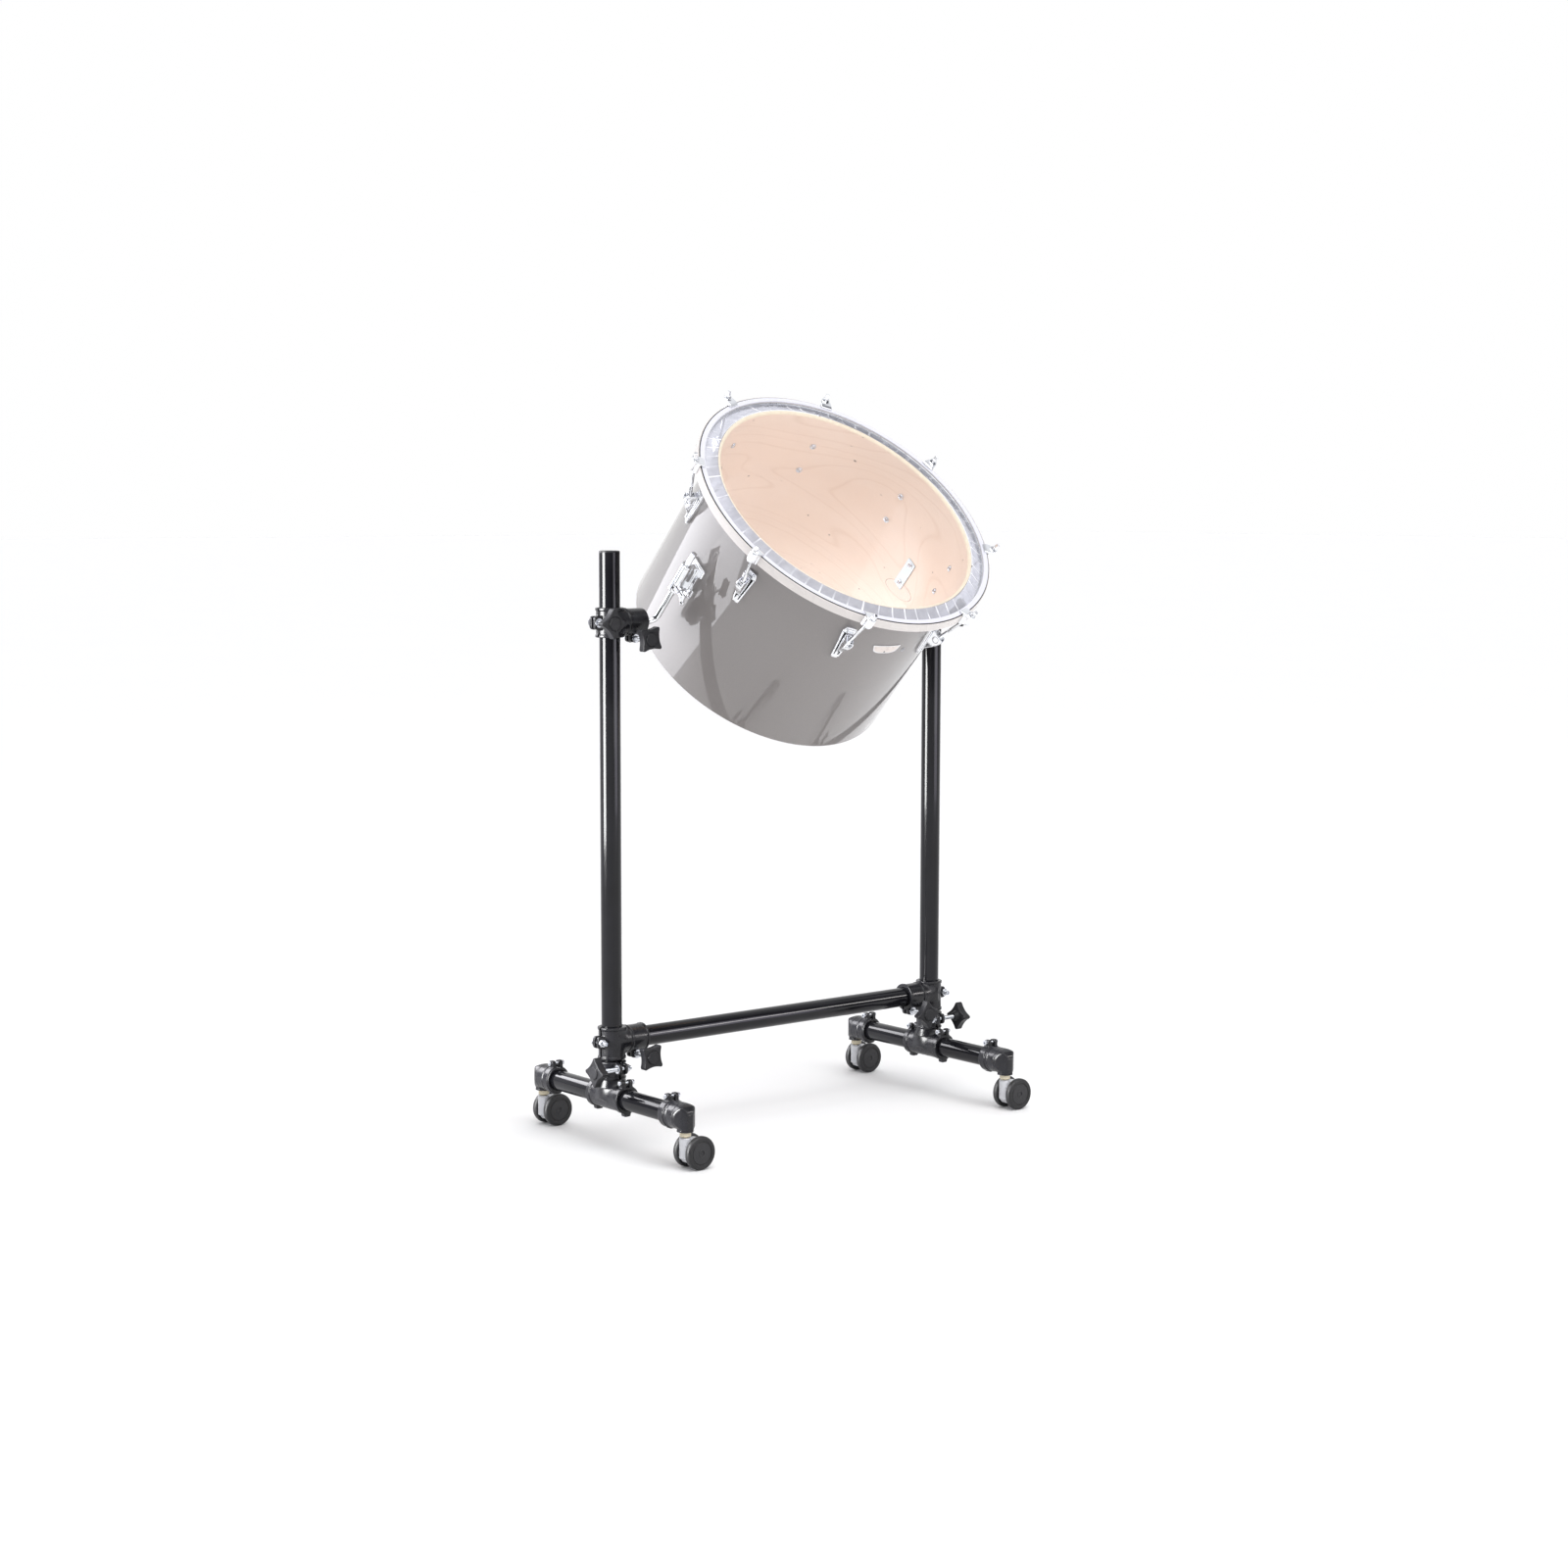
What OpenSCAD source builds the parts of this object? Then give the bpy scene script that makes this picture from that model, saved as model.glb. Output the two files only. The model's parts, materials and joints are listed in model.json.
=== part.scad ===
// Gong bass drum on a wheeled pipe stand.
// Frame: +X runs along the crossbar to the player's right, -Y faces the player, +Z is up.
// The origin is on the floor at the middle of the whole object's footprint.

/* [Drum] */
// Outside diameter of the wooden shell
shell_d = 508; // [480:1:520]
// Length of the shell along its axis
shell_len = 355.6; // [330:0.1:380]
// Thickness of the shell wall
shell_wall = 7.5; // [6:0.5:9]
// Lean of the drum's axis from upright, head towards the player
tilt = 43.8; // [25:0.1:60]
// Distance of the turning axis below the head
pivot_drop = 280.6; // [260:0.1:300]
// Thickness of the drum head film
film_t = 0.6; // [0.4:0.1:1]

/* [Hoop and tension hardware] */
// Inside diameter of the counterhoop
hoop_in_d = 556; // [550:1:560]
// Outside diameter of the counterhoop
hoop_out_d = 582; // [578:1:586]
// Height of the counterhoop
hoop_h = 18; // [16:0.5:22]
// Diameter of the circle on which the rods pass the hoop
rod_circle_d = 600; // [596:1:604]
// Diameter of a tension rod
tension_d = 6; // [5:0.5:7]

/* [Stand] */
// Outside diameter of every stand tube
tube_d = 37; // [34:0.5:39]
// Wall thickness of the stand tubes
tube_wall = 2; // [1.5:0.5:3]
// Distance between the uprights' axes
upright_gap = 763; // [740:1:800]
// Height of the uprights' upper ends
upright_top = 1067; // [1040:1:1100]
// Height of the drum's turning axis
pivot_z = 941; // [900:1:980]
// Height of the crossbar's axis
crossbar_z = 194; // [188:1:204]
// Height of the leg tubes' axes
leg_z = 93.5; // [92:0.5:95]
// Distance from an upright to a caster stem
leg_reach = 218; // [200:1:240]
// Wall thickness of the cast fittings
cast_wall = 5.5; // [5:0.5:7]

/* [Mounting rods] */
// Diameter of the bent rods that carry the drum
arm_d = 11; // [9:0.5:12]
// Distance of a rod's long leg from the drum's axis
arm_offset = 283; // [281:0.5:285]
// Centreline radius of the bend
arm_bend_r = 16; // [14:1:18]

/* [Knobs] */
// Reach of a knob's lobes
knob_r = 27; // [22:1:28]
// Thickness of a knob's lobes
knob_t = 15; // [12:1:17]

/* [Casters] */
// Wheel diameter
wheel_d = 60; // [56:1:62]
// Thickness of one wheel disc
wheel_t = 12; // [10:1:13]
// Offset of the axle from the swivel axis
trail = 19; // [17:1:20]

/* [Hidden] */
$fn = 64;
run_gap = 0.06;
tube_r = tube_d / 2;
bore_r = tube_r + run_gap;
cast_r = tube_r + cast_wall;
shell_r = shell_d / 2;
hoop_in_r = hoop_in_d / 2;
hoop_out_r = hoop_out_d / 2;
rod_circle_r = rod_circle_d / 2;
arm_r = arm_d / 2;
arm_bore_r = arm_r + run_gap;
wheel_r = wheel_d / 2;
half_gap = upright_gap / 2;

// Drum details
lug_count = 8;
lug_first_angle = 22.5;
lug_top = -60;
lug_len = 72;
lug_w = 27;
lug_out = 31;
nut_r = 6;
nut_drop = 81;
nut_radius = 273;
rod_lean = atan((rod_circle_r - nut_radius) / nut_drop);
screw_drops = [65, 124];
hoop_top = -1;
flange_t = 4;
skirt_t = 3;
flesh_in_r = hoop_in_r - 1;
flesh_out_r = hoop_out_r - skirt_t - 0.8;
flesh_top = hoop_top - flange_t;
flesh_h = 11;
claw_w = 24;
claw_top = 5;
claw_out_r = rod_circle_r + 7;
claw_lip_r = hoop_in_r + 3;
badge_angle = 268.5;
badge_w = 64;
badge_h = 19;
badge_drop = 91;
vent_angle = 279;
vent_drop = 107;
bracket_mid = 174;
plate_len = 62;
plate_w = 24;

// Stand details
clamp_half = 26;
socket_reach = 69;
ear_gap = 2;
ear_t = 7;
ear_out = cast_r + 14;
bolt_r = 4;
bolt_at = cast_r + 5;
side_bolt_x = 50;
knob_centre = 50;
leg_collar_top = 159;
leg_collar_z = 147;
leg_sleeve_half = 48;
band_w = 11;
band_r = cast_r + 1.6;
band_ear_z = 27.5;
tee_half = 29;
elbow_band_y = leg_reach - 40;
outlet_r = 15.5;
outlet_z = 67.5;
bush_r = 10;
bush_h = 8;
stem_r = 5;
hood_top = 58;
hood_half = 11;
hood_r = 25;
axle_r = 4;
upright_foot = leg_z + tube_r + 5;

// Footprint: front is the foremost rod head, rear is the back of the rear wheels
head_rise = claw_top + 11.3;
head_reach = (rod_circle_r + 8.5) * cos(lug_first_angle);
front_y = -(pivot_drop + head_rise) * sin(tilt) - head_reach * cos(tilt);
rear_y = leg_reach + hood_half + 0.5 + wheel_t;
stand_y = -(front_y + rear_y) / 2;

black = "#16161a";
chrome = "#d9dbe0";
cream = "#efe4cf";

// ---------- placing ----------

module on_stand() {
    translate([0, stand_y, 0]) children();
}

// The drum's own frame: origin at the head's centre, +Z out of the head
module on_drum() {
    on_stand() translate([0, 0, pivot_z]) rotate([tilt, 0, 0]) translate([0, 0, pivot_drop]) children();
}

// side is -1 for left and 1 for right; +X of the children points to the stand's middle
module at_upright(side) {
    on_stand() translate([side * half_gap, 0, 0]) mirror([side > 0 ? 1 : 0, 0, 0]) children();
}

module around(angle) {
    rotate([0, 0, angle]) children();
}

module every_lug() {
    for (i = [0 : lug_count - 1]) around(lug_first_angle + i * 360 / lug_count) children();
}

module rod_frame() {
    translate([rod_circle_r, 0, 0]) rotate([0, rod_lean, 0]) children();
}

// ---------- drum ----------

module shell_profile() {
    edge = 3;
    polygon([
        [shell_r - shell_wall, -shell_len + 1],
        [shell_r - shell_wall + 1, -shell_len],
        [shell_r - 1, -shell_len],
        [shell_r, -shell_len + 1],
        [shell_r, -edge],
        [shell_r - 0.8, -1],
        [shell_r - 2.4, 0],
        [shell_r - shell_wall + 1.6, -2.6],
        [shell_r - shell_wall, -edge - 2]
    ]);
}

module shell() {
    color("#a39c98") on_drum() difference() {
        rotate_extrude($fn = 180) shell_profile();
        every_lug() for (d = screw_drops) translate([shell_r - shell_wall - 5, 0, -d]) rotate([0, 90, 0])
            cylinder(r = 3.1, h = 20, $fn = 24);
        for (a = [0, 180]) around(a) for (d = [-22, 22])
            translate([shell_r - shell_wall - 5, 0, d - bracket_mid])
            rotate([0, 90, 0]) cylinder(r = 3.1, h = 20, $fn = 24);
        around(vent_angle) translate([shell_r - shell_wall - 5, 0, -vent_drop]) rotate([0, 90, 0])
            cylinder(r = 3.5, h = 20, $fn = 32);
    }
}

module head_film() {
    collar_r = flesh_in_r - 0.2;
    color("#dfe6ee", 0.4) on_drum() rotate_extrude($fn = 180) polygon([
        [0, 0.02],
        [shell_r - 2, 0.02],
        [shell_r + 1.5, -0.9],
        [collar_r, flesh_top - 6],
        [collar_r, flesh_top - 6 + film_t],
        [shell_r + 1.8, -0.9 + film_t],
        [shell_r - 2, 0.02 + film_t],
        [0, 0.02 + film_t]
    ]);
}

module flesh_hoop() {
    color("#c8c9cc") on_drum() translate([0, 0, flesh_top - flesh_h]) rotate_extrude($fn = 180) difference() {
        translate([flesh_in_r, 0]) square([flesh_out_r - flesh_in_r, flesh_h]);
        translate([flesh_in_r + 2.5, -1]) square([flesh_out_r - flesh_in_r - 5, 6]);
    }
}

module counterhoop() {
    color(cream) on_drum() rotate_extrude($fn = 180) polygon([
        [hoop_in_r, hoop_top - flange_t],
        [hoop_in_r, hoop_top - 0.8],
        [hoop_in_r + 0.8, hoop_top],
        [hoop_out_r - 1, hoop_top],
        [hoop_out_r, hoop_top - 1],
        [hoop_out_r, hoop_top - hoop_h + 1],
        [hoop_out_r - 0.8, hoop_top - hoop_h],
        [hoop_out_r - skirt_t, hoop_top - hoop_h],
        [hoop_out_r - skirt_t, hoop_top - flange_t]
    ]);
}

module claws() {
    color(chrome) on_drum() every_lug() difference() {
        intersection() {
            rotate([90, 0, 0]) linear_extrude(height = claw_w, center = true) polygon([
                [claw_lip_r, hoop_top + 0.02],
                [hoop_out_r + 0.15, hoop_top + 0.02],
                [hoop_out_r + 0.15, hoop_top - hoop_h - 2],
                [claw_out_r - 3, hoop_top - hoop_h + 4],
                [claw_out_r, hoop_top - 6],
                [claw_out_r, claw_top - 3],
                [claw_out_r - 3, claw_top],
                [claw_lip_r + 2, claw_top - 1],
                [claw_lip_r, claw_top - 3]
            ]);
            linear_extrude(height = 80, center = true) polygon([
                [claw_lip_r - 1, -claw_w / 2],
                [hoop_out_r + 4, -claw_w / 2],
                [claw_out_r, -6],
                [claw_out_r, 6],
                [hoop_out_r + 4, claw_w / 2],
                [claw_lip_r - 1, claw_w / 2]
            ]);
            rotate_extrude($fn = 180) translate([claw_lip_r - 2, -60]) square([60, 120]);
        }
        rod_frame() cylinder(r = tension_d / 2 + 0.3, h = 90, center = true, $fn = 32);
        rotate_extrude($fn = 180) translate([claw_lip_r - 40, -60])
            square([hoop_out_r + 0.1 - claw_lip_r + 40, 60 + hoop_top + 0.02]);
    }
}

module tension_rods() {
    head_z = claw_top + 2.2;
    color(chrome) on_drum() every_lug() rod_frame() {
        translate([0, 0, -nut_drop / cos(rod_lean) - 14])
            cylinder(r = tension_d / 2, h = nut_drop / cos(rod_lean) + 14 + head_z + 1, $fn = 32);
        translate([0, 0, head_z]) cylinder(r = 5.6, h = 2.2, $fn = 32);
        translate([-3.3, -3.3, head_z + 2]) cube([6.6, 6.6, 8]);
    }
}

module rod_washers() {
    color("#f3f3f3") on_drum() every_lug() rod_frame() translate([0, 0, claw_top + 1]) difference() {
        cylinder(r = 6.4, h = 1.2, $fn = 32);
        translate([0, 0, -1]) cylinder(r = tension_d / 2 + 0.1, h = 4, $fn = 32);
    }
}

module lug_side() {
    polygon([
        [shell_r - 2, lug_top - 4],
        [shell_r + 4, lug_top],
        [shell_r + 12, lug_top - 2],
        [shell_r + lug_out, -nut_drop + 12],
        [shell_r + lug_out, -nut_drop - 5],
        [shell_r + lug_out - 4, -nut_drop - 11],
        [shell_r + 9, lug_top - lug_len + 4],
        [shell_r + 5, lug_top - lug_len],
        [shell_r - 2, lug_top - lug_len]
    ]);
}

module lugs() {
    color(chrome) on_drum() difference() {
        every_lug() intersection() {
            rotate([90, 0, 0]) linear_extrude(height = lug_w, center = true) lug_side();
            rotate([90, 0, 90]) linear_extrude(height = shell_r + 80) polygon([
                [-lug_w / 2, lug_top - 8],
                [-lug_w / 2 + 4, lug_top + 1],
                [lug_w / 2 - 4, lug_top + 1],
                [lug_w / 2, lug_top - 8],
                [7, lug_top - lug_len + 1],
                [4, lug_top - lug_len - 1],
                [-4, lug_top - lug_len - 1],
                [-7, lug_top - lug_len + 1]
            ]);
        }
        cylinder(r = shell_r, h = 800, center = true, $fn = 180);
        every_lug() {
            rod_frame() translate([0, 0, -104]) cylinder(r = tension_d / 2 + 1.2, h = 120, $fn = 32);
            translate([nut_radius, 0, -nut_drop]) rotate([90, 0, 0])
                cylinder(r = nut_r + 0.15, h = 14.3, center = true, $fn = 48);
            for (d = screw_drops) translate([shell_r - 2, 0, -d - 0.01]) rotate([0, 90, 0])
                cylinder(r = 2.55, h = 8.6, $fn = 24);
        }
    }
}

module swivel_nuts() {
    color(chrome) on_drum() every_lug() difference() {
        translate([nut_radius, 0, -nut_drop]) rotate([90, 0, 0])
            cylinder(r = nut_r, h = 14, center = true, $fn = 48);
        rod_frame() cylinder(r = tension_d / 2 + 0.05, h = 260, center = true, $fn = 32);
    }
}

// A screw from inside the shell: washer, pan head and shank, along +X
module inner_screw(shank) {
    translate([-1.2, 0, 0]) rotate([0, 90, 0]) cylinder(r = 6, h = 1.2, $fn = 32);
    translate([-3.8, 0, 0]) rotate([0, 90, 0]) cylinder(r = 4.2, h = 2.7, $fn = 32);
    translate([-1, 0, 0]) rotate([0, 90, 0]) cylinder(r = 2.5, h = shank + 1, $fn = 24);
}

module lug_screws() {
    color("#c9ccd2") on_drum() every_lug() for (d = screw_drops)
        translate([shell_r - shell_wall - 0.09, 0, -d]) inner_screw(shell_wall + 5);
}

// Bracket that grips a mounting rod; +X points away from the drum
module bracket() {
    base_t = 5;
    body_r = 10.5;
    low = -bracket_mid - 31;
    difference() {
        union() {
            intersection() {
                translate([shell_r - 4, -21, low]) cube([9 + base_t, 42, 66]);
                cylinder(r = shell_r + base_t, h = 900, center = true, $fn = 180);
                rotate([90, 0, 90]) linear_extrude(height = shell_r + 60) polygon([
                    [-21, low],
                    [-21, low + 16],
                    [-13, low + 27],
                    [-13, low + 39],
                    [-21, low + 50],
                    [-21, low + 66],
                    [21, low + 66], [21, low + 50], [13, low + 39], [13, low + 27], [21, low + 16], [21, low]
                ]);
            }
            translate([shell_r - 1, -8, low + 6]) cube([arm_offset - shell_r, 16, 56]);
            translate([arm_offset, 0, low + 3]) cylinder(r = body_r, h = 62);
            translate([arm_offset, 0, low + 16]) rotate([90, 0, 0]) cylinder(r = 8, h = 19);
        }
        cylinder(r = shell_r, h = 900, center = true, $fn = 180);
        translate([arm_offset, 0, low - 1]) cylinder(r = arm_bore_r, h = 80);
        translate([arm_offset, 0, low + 16]) rotate([90, 0, 0]) cylinder(r = bolt_r + run_gap, h = 30);
        for (d = [-22, 22]) translate([shell_r - 4, 0, d - bracket_mid]) rotate([0, 90, 0])
            cylinder(r = 2.55, h = 12, $fn = 24);
    }
}

module bracket_left() {
    color(chrome) on_drum() around(180) mirror([0, 1, 0]) bracket();
}

module bracket_right() {
    color(chrome) on_drum() bracket();
}

module bracket_plates() {
    color("#cfe0ee") on_drum() for (a = [0, 180]) around(a) difference() {
        intersection() {
            translate([shell_r - shell_wall - 8, -plate_w / 2, -bracket_mid - plate_len / 2])
                cube([12, plate_w, plate_len]);
            difference() {
                cylinder(r = shell_r - shell_wall - 0.02, h = 900, center = true, $fn = 180);
                cylinder(r = shell_r - shell_wall - 2, h = 901, center = true, $fn = 180);
            }
        }
        for (d = [-22, 22]) translate([shell_r - shell_wall - 20, 0, d - bracket_mid]) rotate([0, 90, 0])
            cylinder(r = 3.1, h = 30, $fn = 24);
    }
}

module bracket_screws() {
    color("#c9ccd2") on_drum() for (a = [0, 180]) around(a) for (d = [-22, 22])
        translate([shell_r - shell_wall - 2.1, 0, d - bracket_mid]) inner_screw(shell_wall + 2 + 8);
}

// Wing bolt along -Y of the children, its tip just short of the rod
module wing_bolt() {
    rotate([90, 0, 0]) {
        translate([0, 0, arm_r + 0.3]) cylinder(r = bolt_r, h = 24);
        translate([0, 0, 20]) cylinder(r = 7, h = 10);
        translate([0, 0, 29]) rotate([0, 90, 0]) linear_extrude(height = 5, center = true) difference() {
            union() {
                for (s = [-1, 1]) translate([-4, s * 9]) circle(r = 6.5, $fn = 40);
                translate([-4, -9]) square([8, 18]);
            }
            translate([3.5, -20]) square([10, 40]);
        }
    }
}

module wing_place(angle) {
    on_drum() around(angle) mirror([0, angle > 90 ? 1 : 0, 0])
        translate([arm_offset, 0, -bracket_mid - 15]) children();
}

module wing_bolt_left() {
    color(chrome) wing_place(180) wing_bolt();
}

module wing_bolt_right() {
    color(chrome) wing_place(0) wing_bolt();
}

module badge() {
    color(cream) on_drum() around(badge_angle) intersection() {
        difference() {
            cylinder(r = shell_r + 1.5, h = 900, center = true, $fn = 180);
            cylinder(r = shell_r + 0.02, h = 901, center = true, $fn = 180);
        }
        rotate([90, 0, 90]) linear_extrude(height = shell_r + 20) polygon([
            [-badge_w / 2, -badge_drop],
            [badge_w / 2, -badge_drop],
            [badge_w / 2 - 6, -badge_drop - badge_h + 4],
            [badge_w / 4, -badge_drop - badge_h],
            [-badge_w / 4, -badge_drop - badge_h],
            [-badge_w / 2 + 6, -badge_drop - badge_h + 4]
        ]);
    }
}

module vent_grommet() {
    color(chrome) on_drum() around(vent_angle)
        translate([shell_r - shell_wall, 0, -vent_drop]) rotate([0, 90, 0])
        difference() {
            union() {
                cylinder(r = 3.4, h = shell_wall + 0.2, $fn = 32);
                translate([0, 0, shell_wall + 0.12]) cylinder(r = 4.6, h = 0.8, $fn = 32);
            }
            translate([0, 0, -1]) cylinder(r = 2.2, h = 20, $fn = 32);
        }
}

// ---------- mounting rods ----------

module mounting_rod() {
    end_x = half_gap - 36;
    translate([arm_offset + arm_bend_r, 0, -pivot_drop]) rotate([0, 90, 0])
        cylinder(r = arm_r, h = end_x - arm_offset - arm_bend_r, $fn = 48);
    translate([arm_offset + arm_bend_r, 0, -pivot_drop + arm_bend_r]) rotate([90, 0, 0])
        rotate([0, 0, 180]) rotate_extrude(angle = 90, $fn = 96)
            translate([arm_bend_r, 0]) circle(r = arm_r, $fn = 48);
    translate([arm_offset, 0, -pivot_drop + arm_bend_r])
        cylinder(r = arm_r, h = pivot_drop - arm_bend_r - 112, $fn = 48);
}

module mounting_rod_left() {
    color(chrome) on_drum() mirror([1, 0, 0]) mounting_rod();
}

module mounting_rod_right() {
    color(chrome) on_drum() mounting_rod();
}

// ---------- knobs and hardware ----------

// Four-lobed knob on a screw. The screw runs along +Z from the knob; the knob's face is at -Z
module knob(reach, screw, turn) {
    notch_at = knob_r * 2.3;
    notch_r = knob_r * 1.66;
    translate([0, 0, -reach]) {
        translate([0, 0, -knob_t / 2]) rotate([0, 0, turn]) linear_extrude(height = knob_t) difference() {
            circle(r = knob_r, $fn = 96);
            for (a = [45 : 90 : 315]) rotate([0, 0, a])
                translate([notch_at, 0]) circle(r = notch_r, $fn = 72);
        }
        translate([0, 0, -knob_t / 2 - 2]) cylinder(r = 11.5, h = 3, $fn = 48);
        translate([0, 0, knob_t / 2 - 1]) cylinder(r1 = 10, r2 = 7.5, h = 9, $fn = 48);
        cylinder(r = bolt_r, h = screw, $fn = 32);
    }
}

module hex_nut(across, thick) {
    difference() {
        cylinder(r = across / 2 / cos(30), h = thick, $fn = 6);
        translate([0, 0, -1]) cylinder(r = bolt_r + 0.05, h = thick + 2, $fn = 32);
    }
}

// Two ears and the slit between them, reaching along +X from a sleeve whose axis is Z
module ears(height, reach) {
    for (s = [-1, 1]) translate([0, s * (ear_gap + ear_t / 2), 0]) rotate([90, 0, 0])
        linear_extrude(height = ear_t, center = true) union() {
            translate([0, -height / 2]) square([reach - 8, height]);
            translate([reach - 8, -height / 2 + 6]) square([8, height - 12]);
            for (e = [-1, 1]) translate([reach - 8, e * (height / 2 - 6)]) circle(r = 6, $fn = 32);
        }
}

// A plain bar, rim or cone along +X, made for the castings' sockets
module along_x(from, r1, r2, reach) {
    translate([from, 0, 0]) rotate([0, 90, 0]) cylinder(r1 = r1, r2 = r2, h = reach, $fn = 96);
}

// Clearance for a bolt across a pair of ears
module bolt_hole() {
    rotate([90, 0, 0]) cylinder(r = bolt_r + run_gap, h = 60, center = true, $fn = 32);
}

// ---------- upper clamps ----------

// The sleeve rides on the upright and the socket takes the drum's rod; +X points to the drum
module upper_clamp() {
    difference() {
        union() {
            translate([0, 0, -clamp_half]) cylinder(r = cast_r, h = 2 * clamp_half, $fn = 96);
            for (z = [-clamp_half, clamp_half - 5]) translate([0, 0, z])
                cylinder(r = cast_r + 1.6, h = 5, $fn = 96);
            along_x(0, cast_r, cast_r, socket_reach);
            along_x(cast_r - 4, cast_r + 3, cast_r, 12);
            along_x(socket_reach, cast_r, cast_r - 5, 4);
            mirror([1, 0, 0]) ears(24, ear_out);
            translate([side_bolt_x, 0, 0]) rotate([0, 90, 0]) ears(24, ear_out - 2);
        }
        cylinder(r = bore_r, h = 4 * clamp_half, center = true, $fn = 128);
        rotate([0, 90, 0]) cylinder(r = arm_bore_r, h = 200, $fn = 64);
        translate([-100, -ear_gap, -100]) cube([100, 2 * ear_gap, 200]);
        translate([side_bolt_x - 18, -ear_gap, -80]) cube([80, 2 * ear_gap, 80]);
        translate([-bolt_at, 0, 0]) bolt_hole();
        translate([side_bolt_x, 0, -bolt_at]) bolt_hole();
    }
}

module clamp_nuts() {
    translate([-bolt_at, ear_gap + ear_t + 7.1, 0]) rotate([90, 30, 0]) hex_nut(13, 7);
    translate([side_bolt_x, ear_gap + ear_t + 7.1, -bolt_at]) rotate([90, 0, 0]) hex_nut(13, 7);
}

module at_clamp(side) {
    at_upright(side) translate([0, 0, pivot_z]) children();
}

module upper_clamp_left() {
    color(black) at_clamp(-1) upper_clamp();
}

module upper_clamp_right() {
    color(black) at_clamp(1) upper_clamp();
}

module clamp_nuts_left() {
    color("#8b8d92") at_clamp(-1) clamp_nuts();
}

module clamp_nuts_right() {
    color("#8b8d92") at_clamp(1) clamp_nuts();
}

// A knob whose screw passes along +Y through a pair of ears
module front_knob(turn) {
    rotate([-90, 0, 0]) knob(knob_centre, knob_centre + ear_gap + ear_t + 12, turn);
}

module height_knob_left() {
    color(black) at_clamp(-1) translate([-bolt_at, 0, 0]) front_knob(0);
}

module height_knob_right() {
    color(black) at_clamp(1) translate([-bolt_at, 0, 0]) front_knob(0);
}

module tilt_knob_left() {
    color(black) at_clamp(-1) translate([side_bolt_x, 0, -bolt_at]) front_knob(38);
}

module tilt_knob_right() {
    color(black) at_clamp(1) translate([side_bolt_x, 0, -bolt_at]) front_knob(38);
}

// ---------- uprights and crossbar ----------

module upright() {
    translate([0, 0, upright_foot]) difference() {
        cylinder(r = tube_r, h = upright_top - upright_foot - 3, $fn = 128);
        translate([0, 0, -1]) cylinder(r = tube_r - tube_wall, h = upright_top, $fn = 96);
    }
}

module upright_left() {
    color(black) at_upright(-1) upright();
}

module upright_right() {
    color(black) at_upright(1) upright();
}

module upright_caps() {
    color(black) for (side = [-1, 1]) at_upright(side) translate([0, 0, upright_top - 3]) {
        cylinder(r = tube_r, h = 2, $fn = 96);
        translate([0, 0, 2]) cylinder(r1 = tube_r, r2 = tube_r - 1.2, h = 1, $fn = 96);
        translate([0, 0, -14]) cylinder(r = tube_r - tube_wall - 0.02, h = 14.5, $fn = 96);
    }
}

module crossbar() {
    half = half_gap - tube_r - 8;
    color(black) on_stand() translate([0, 0, crossbar_z]) rotate([0, 90, 0]) difference() {
        cylinder(r = tube_r, h = 2 * half, center = true, $fn = 128);
        cylinder(r = tube_r - tube_wall, h = 2 * half + 2, center = true, $fn = 96);
    }
}

// ---------- lower tees ----------

module lower_tee() {
    difference() {
        union() {
            translate([0, 0, -tee_half - 3]) cylinder(r = cast_r, h = 2 * tee_half, $fn = 96);
            for (z = [-tee_half - 3, tee_half - 8]) translate([0, 0, z])
                cylinder(r = cast_r + 1.6, h = 5, $fn = 96);
            along_x(0, cast_r, cast_r, socket_reach - 2);
            along_x(cast_r - 4, cast_r + 3, cast_r, 12);
            along_x(socket_reach - 6, cast_r + 1.6, cast_r + 1.6, 5);
            mirror([1, 0, 0]) ears(22, ear_out - 2);
            translate([side_bolt_x, 0, 0]) rotate([0, 90, 0]) ears(24, ear_out - 2);
        }
        cylinder(r = bore_r, h = 200, center = true, $fn = 128);
        translate([tube_r + 5, 0, 0]) rotate([0, 90, 0]) cylinder(r = bore_r, h = 200, $fn = 128);
        translate([-100, -ear_gap, -100]) cube([100, 2 * ear_gap, 200]);
        translate([side_bolt_x - 18, -ear_gap, -80]) cube([80, 2 * ear_gap, 80]);
        translate([-bolt_at, 0, 0]) bolt_hole();
        translate([side_bolt_x, 0, -bolt_at]) bolt_hole();
    }
}

module at_tee(side) {
    at_upright(side) translate([0, 0, crossbar_z]) children();
}

module lower_tee_left() {
    color(black) at_tee(-1) lower_tee();
}

module lower_tee_right() {
    color(black) at_tee(1) lower_tee();
}

module crossbar_knob_left() {
    color(black) at_tee(-1) translate([side_bolt_x, 0, -bolt_at]) front_knob(40);
}

module crossbar_knob_right() {
    color(black) at_tee(1) translate([side_bolt_x, 0, -bolt_at]) front_knob(5);
}

// Hex bolt with its nut through the outer ears, and the nut of each crossbar knob
module tee_bolts() {
    ear_face = ear_gap + ear_t;
    color("#8b8d92") for (side = [-1, 1]) at_tee(side) {
        translate([-bolt_at, 0, 0]) rotate([90, 0, 0]) {
            translate([0, 0, -ear_face - 6.1]) rotate([0, 0, 30]) cylinder(r = 7.5, h = 6, $fn = 6);
            translate([0, 0, -ear_face - 1]) cylinder(r = bolt_r, h = 2 * ear_face + 14, $fn = 32);
        }
        translate([-bolt_at, -ear_face - 0.1, 0]) rotate([90, 30, 0]) hex_nut(13, 7);
        translate([side_bolt_x, ear_face + 7.1, -bolt_at]) rotate([90, 0, 0]) hex_nut(13, 7);
    }
}

// ---------- legs ----------

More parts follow.
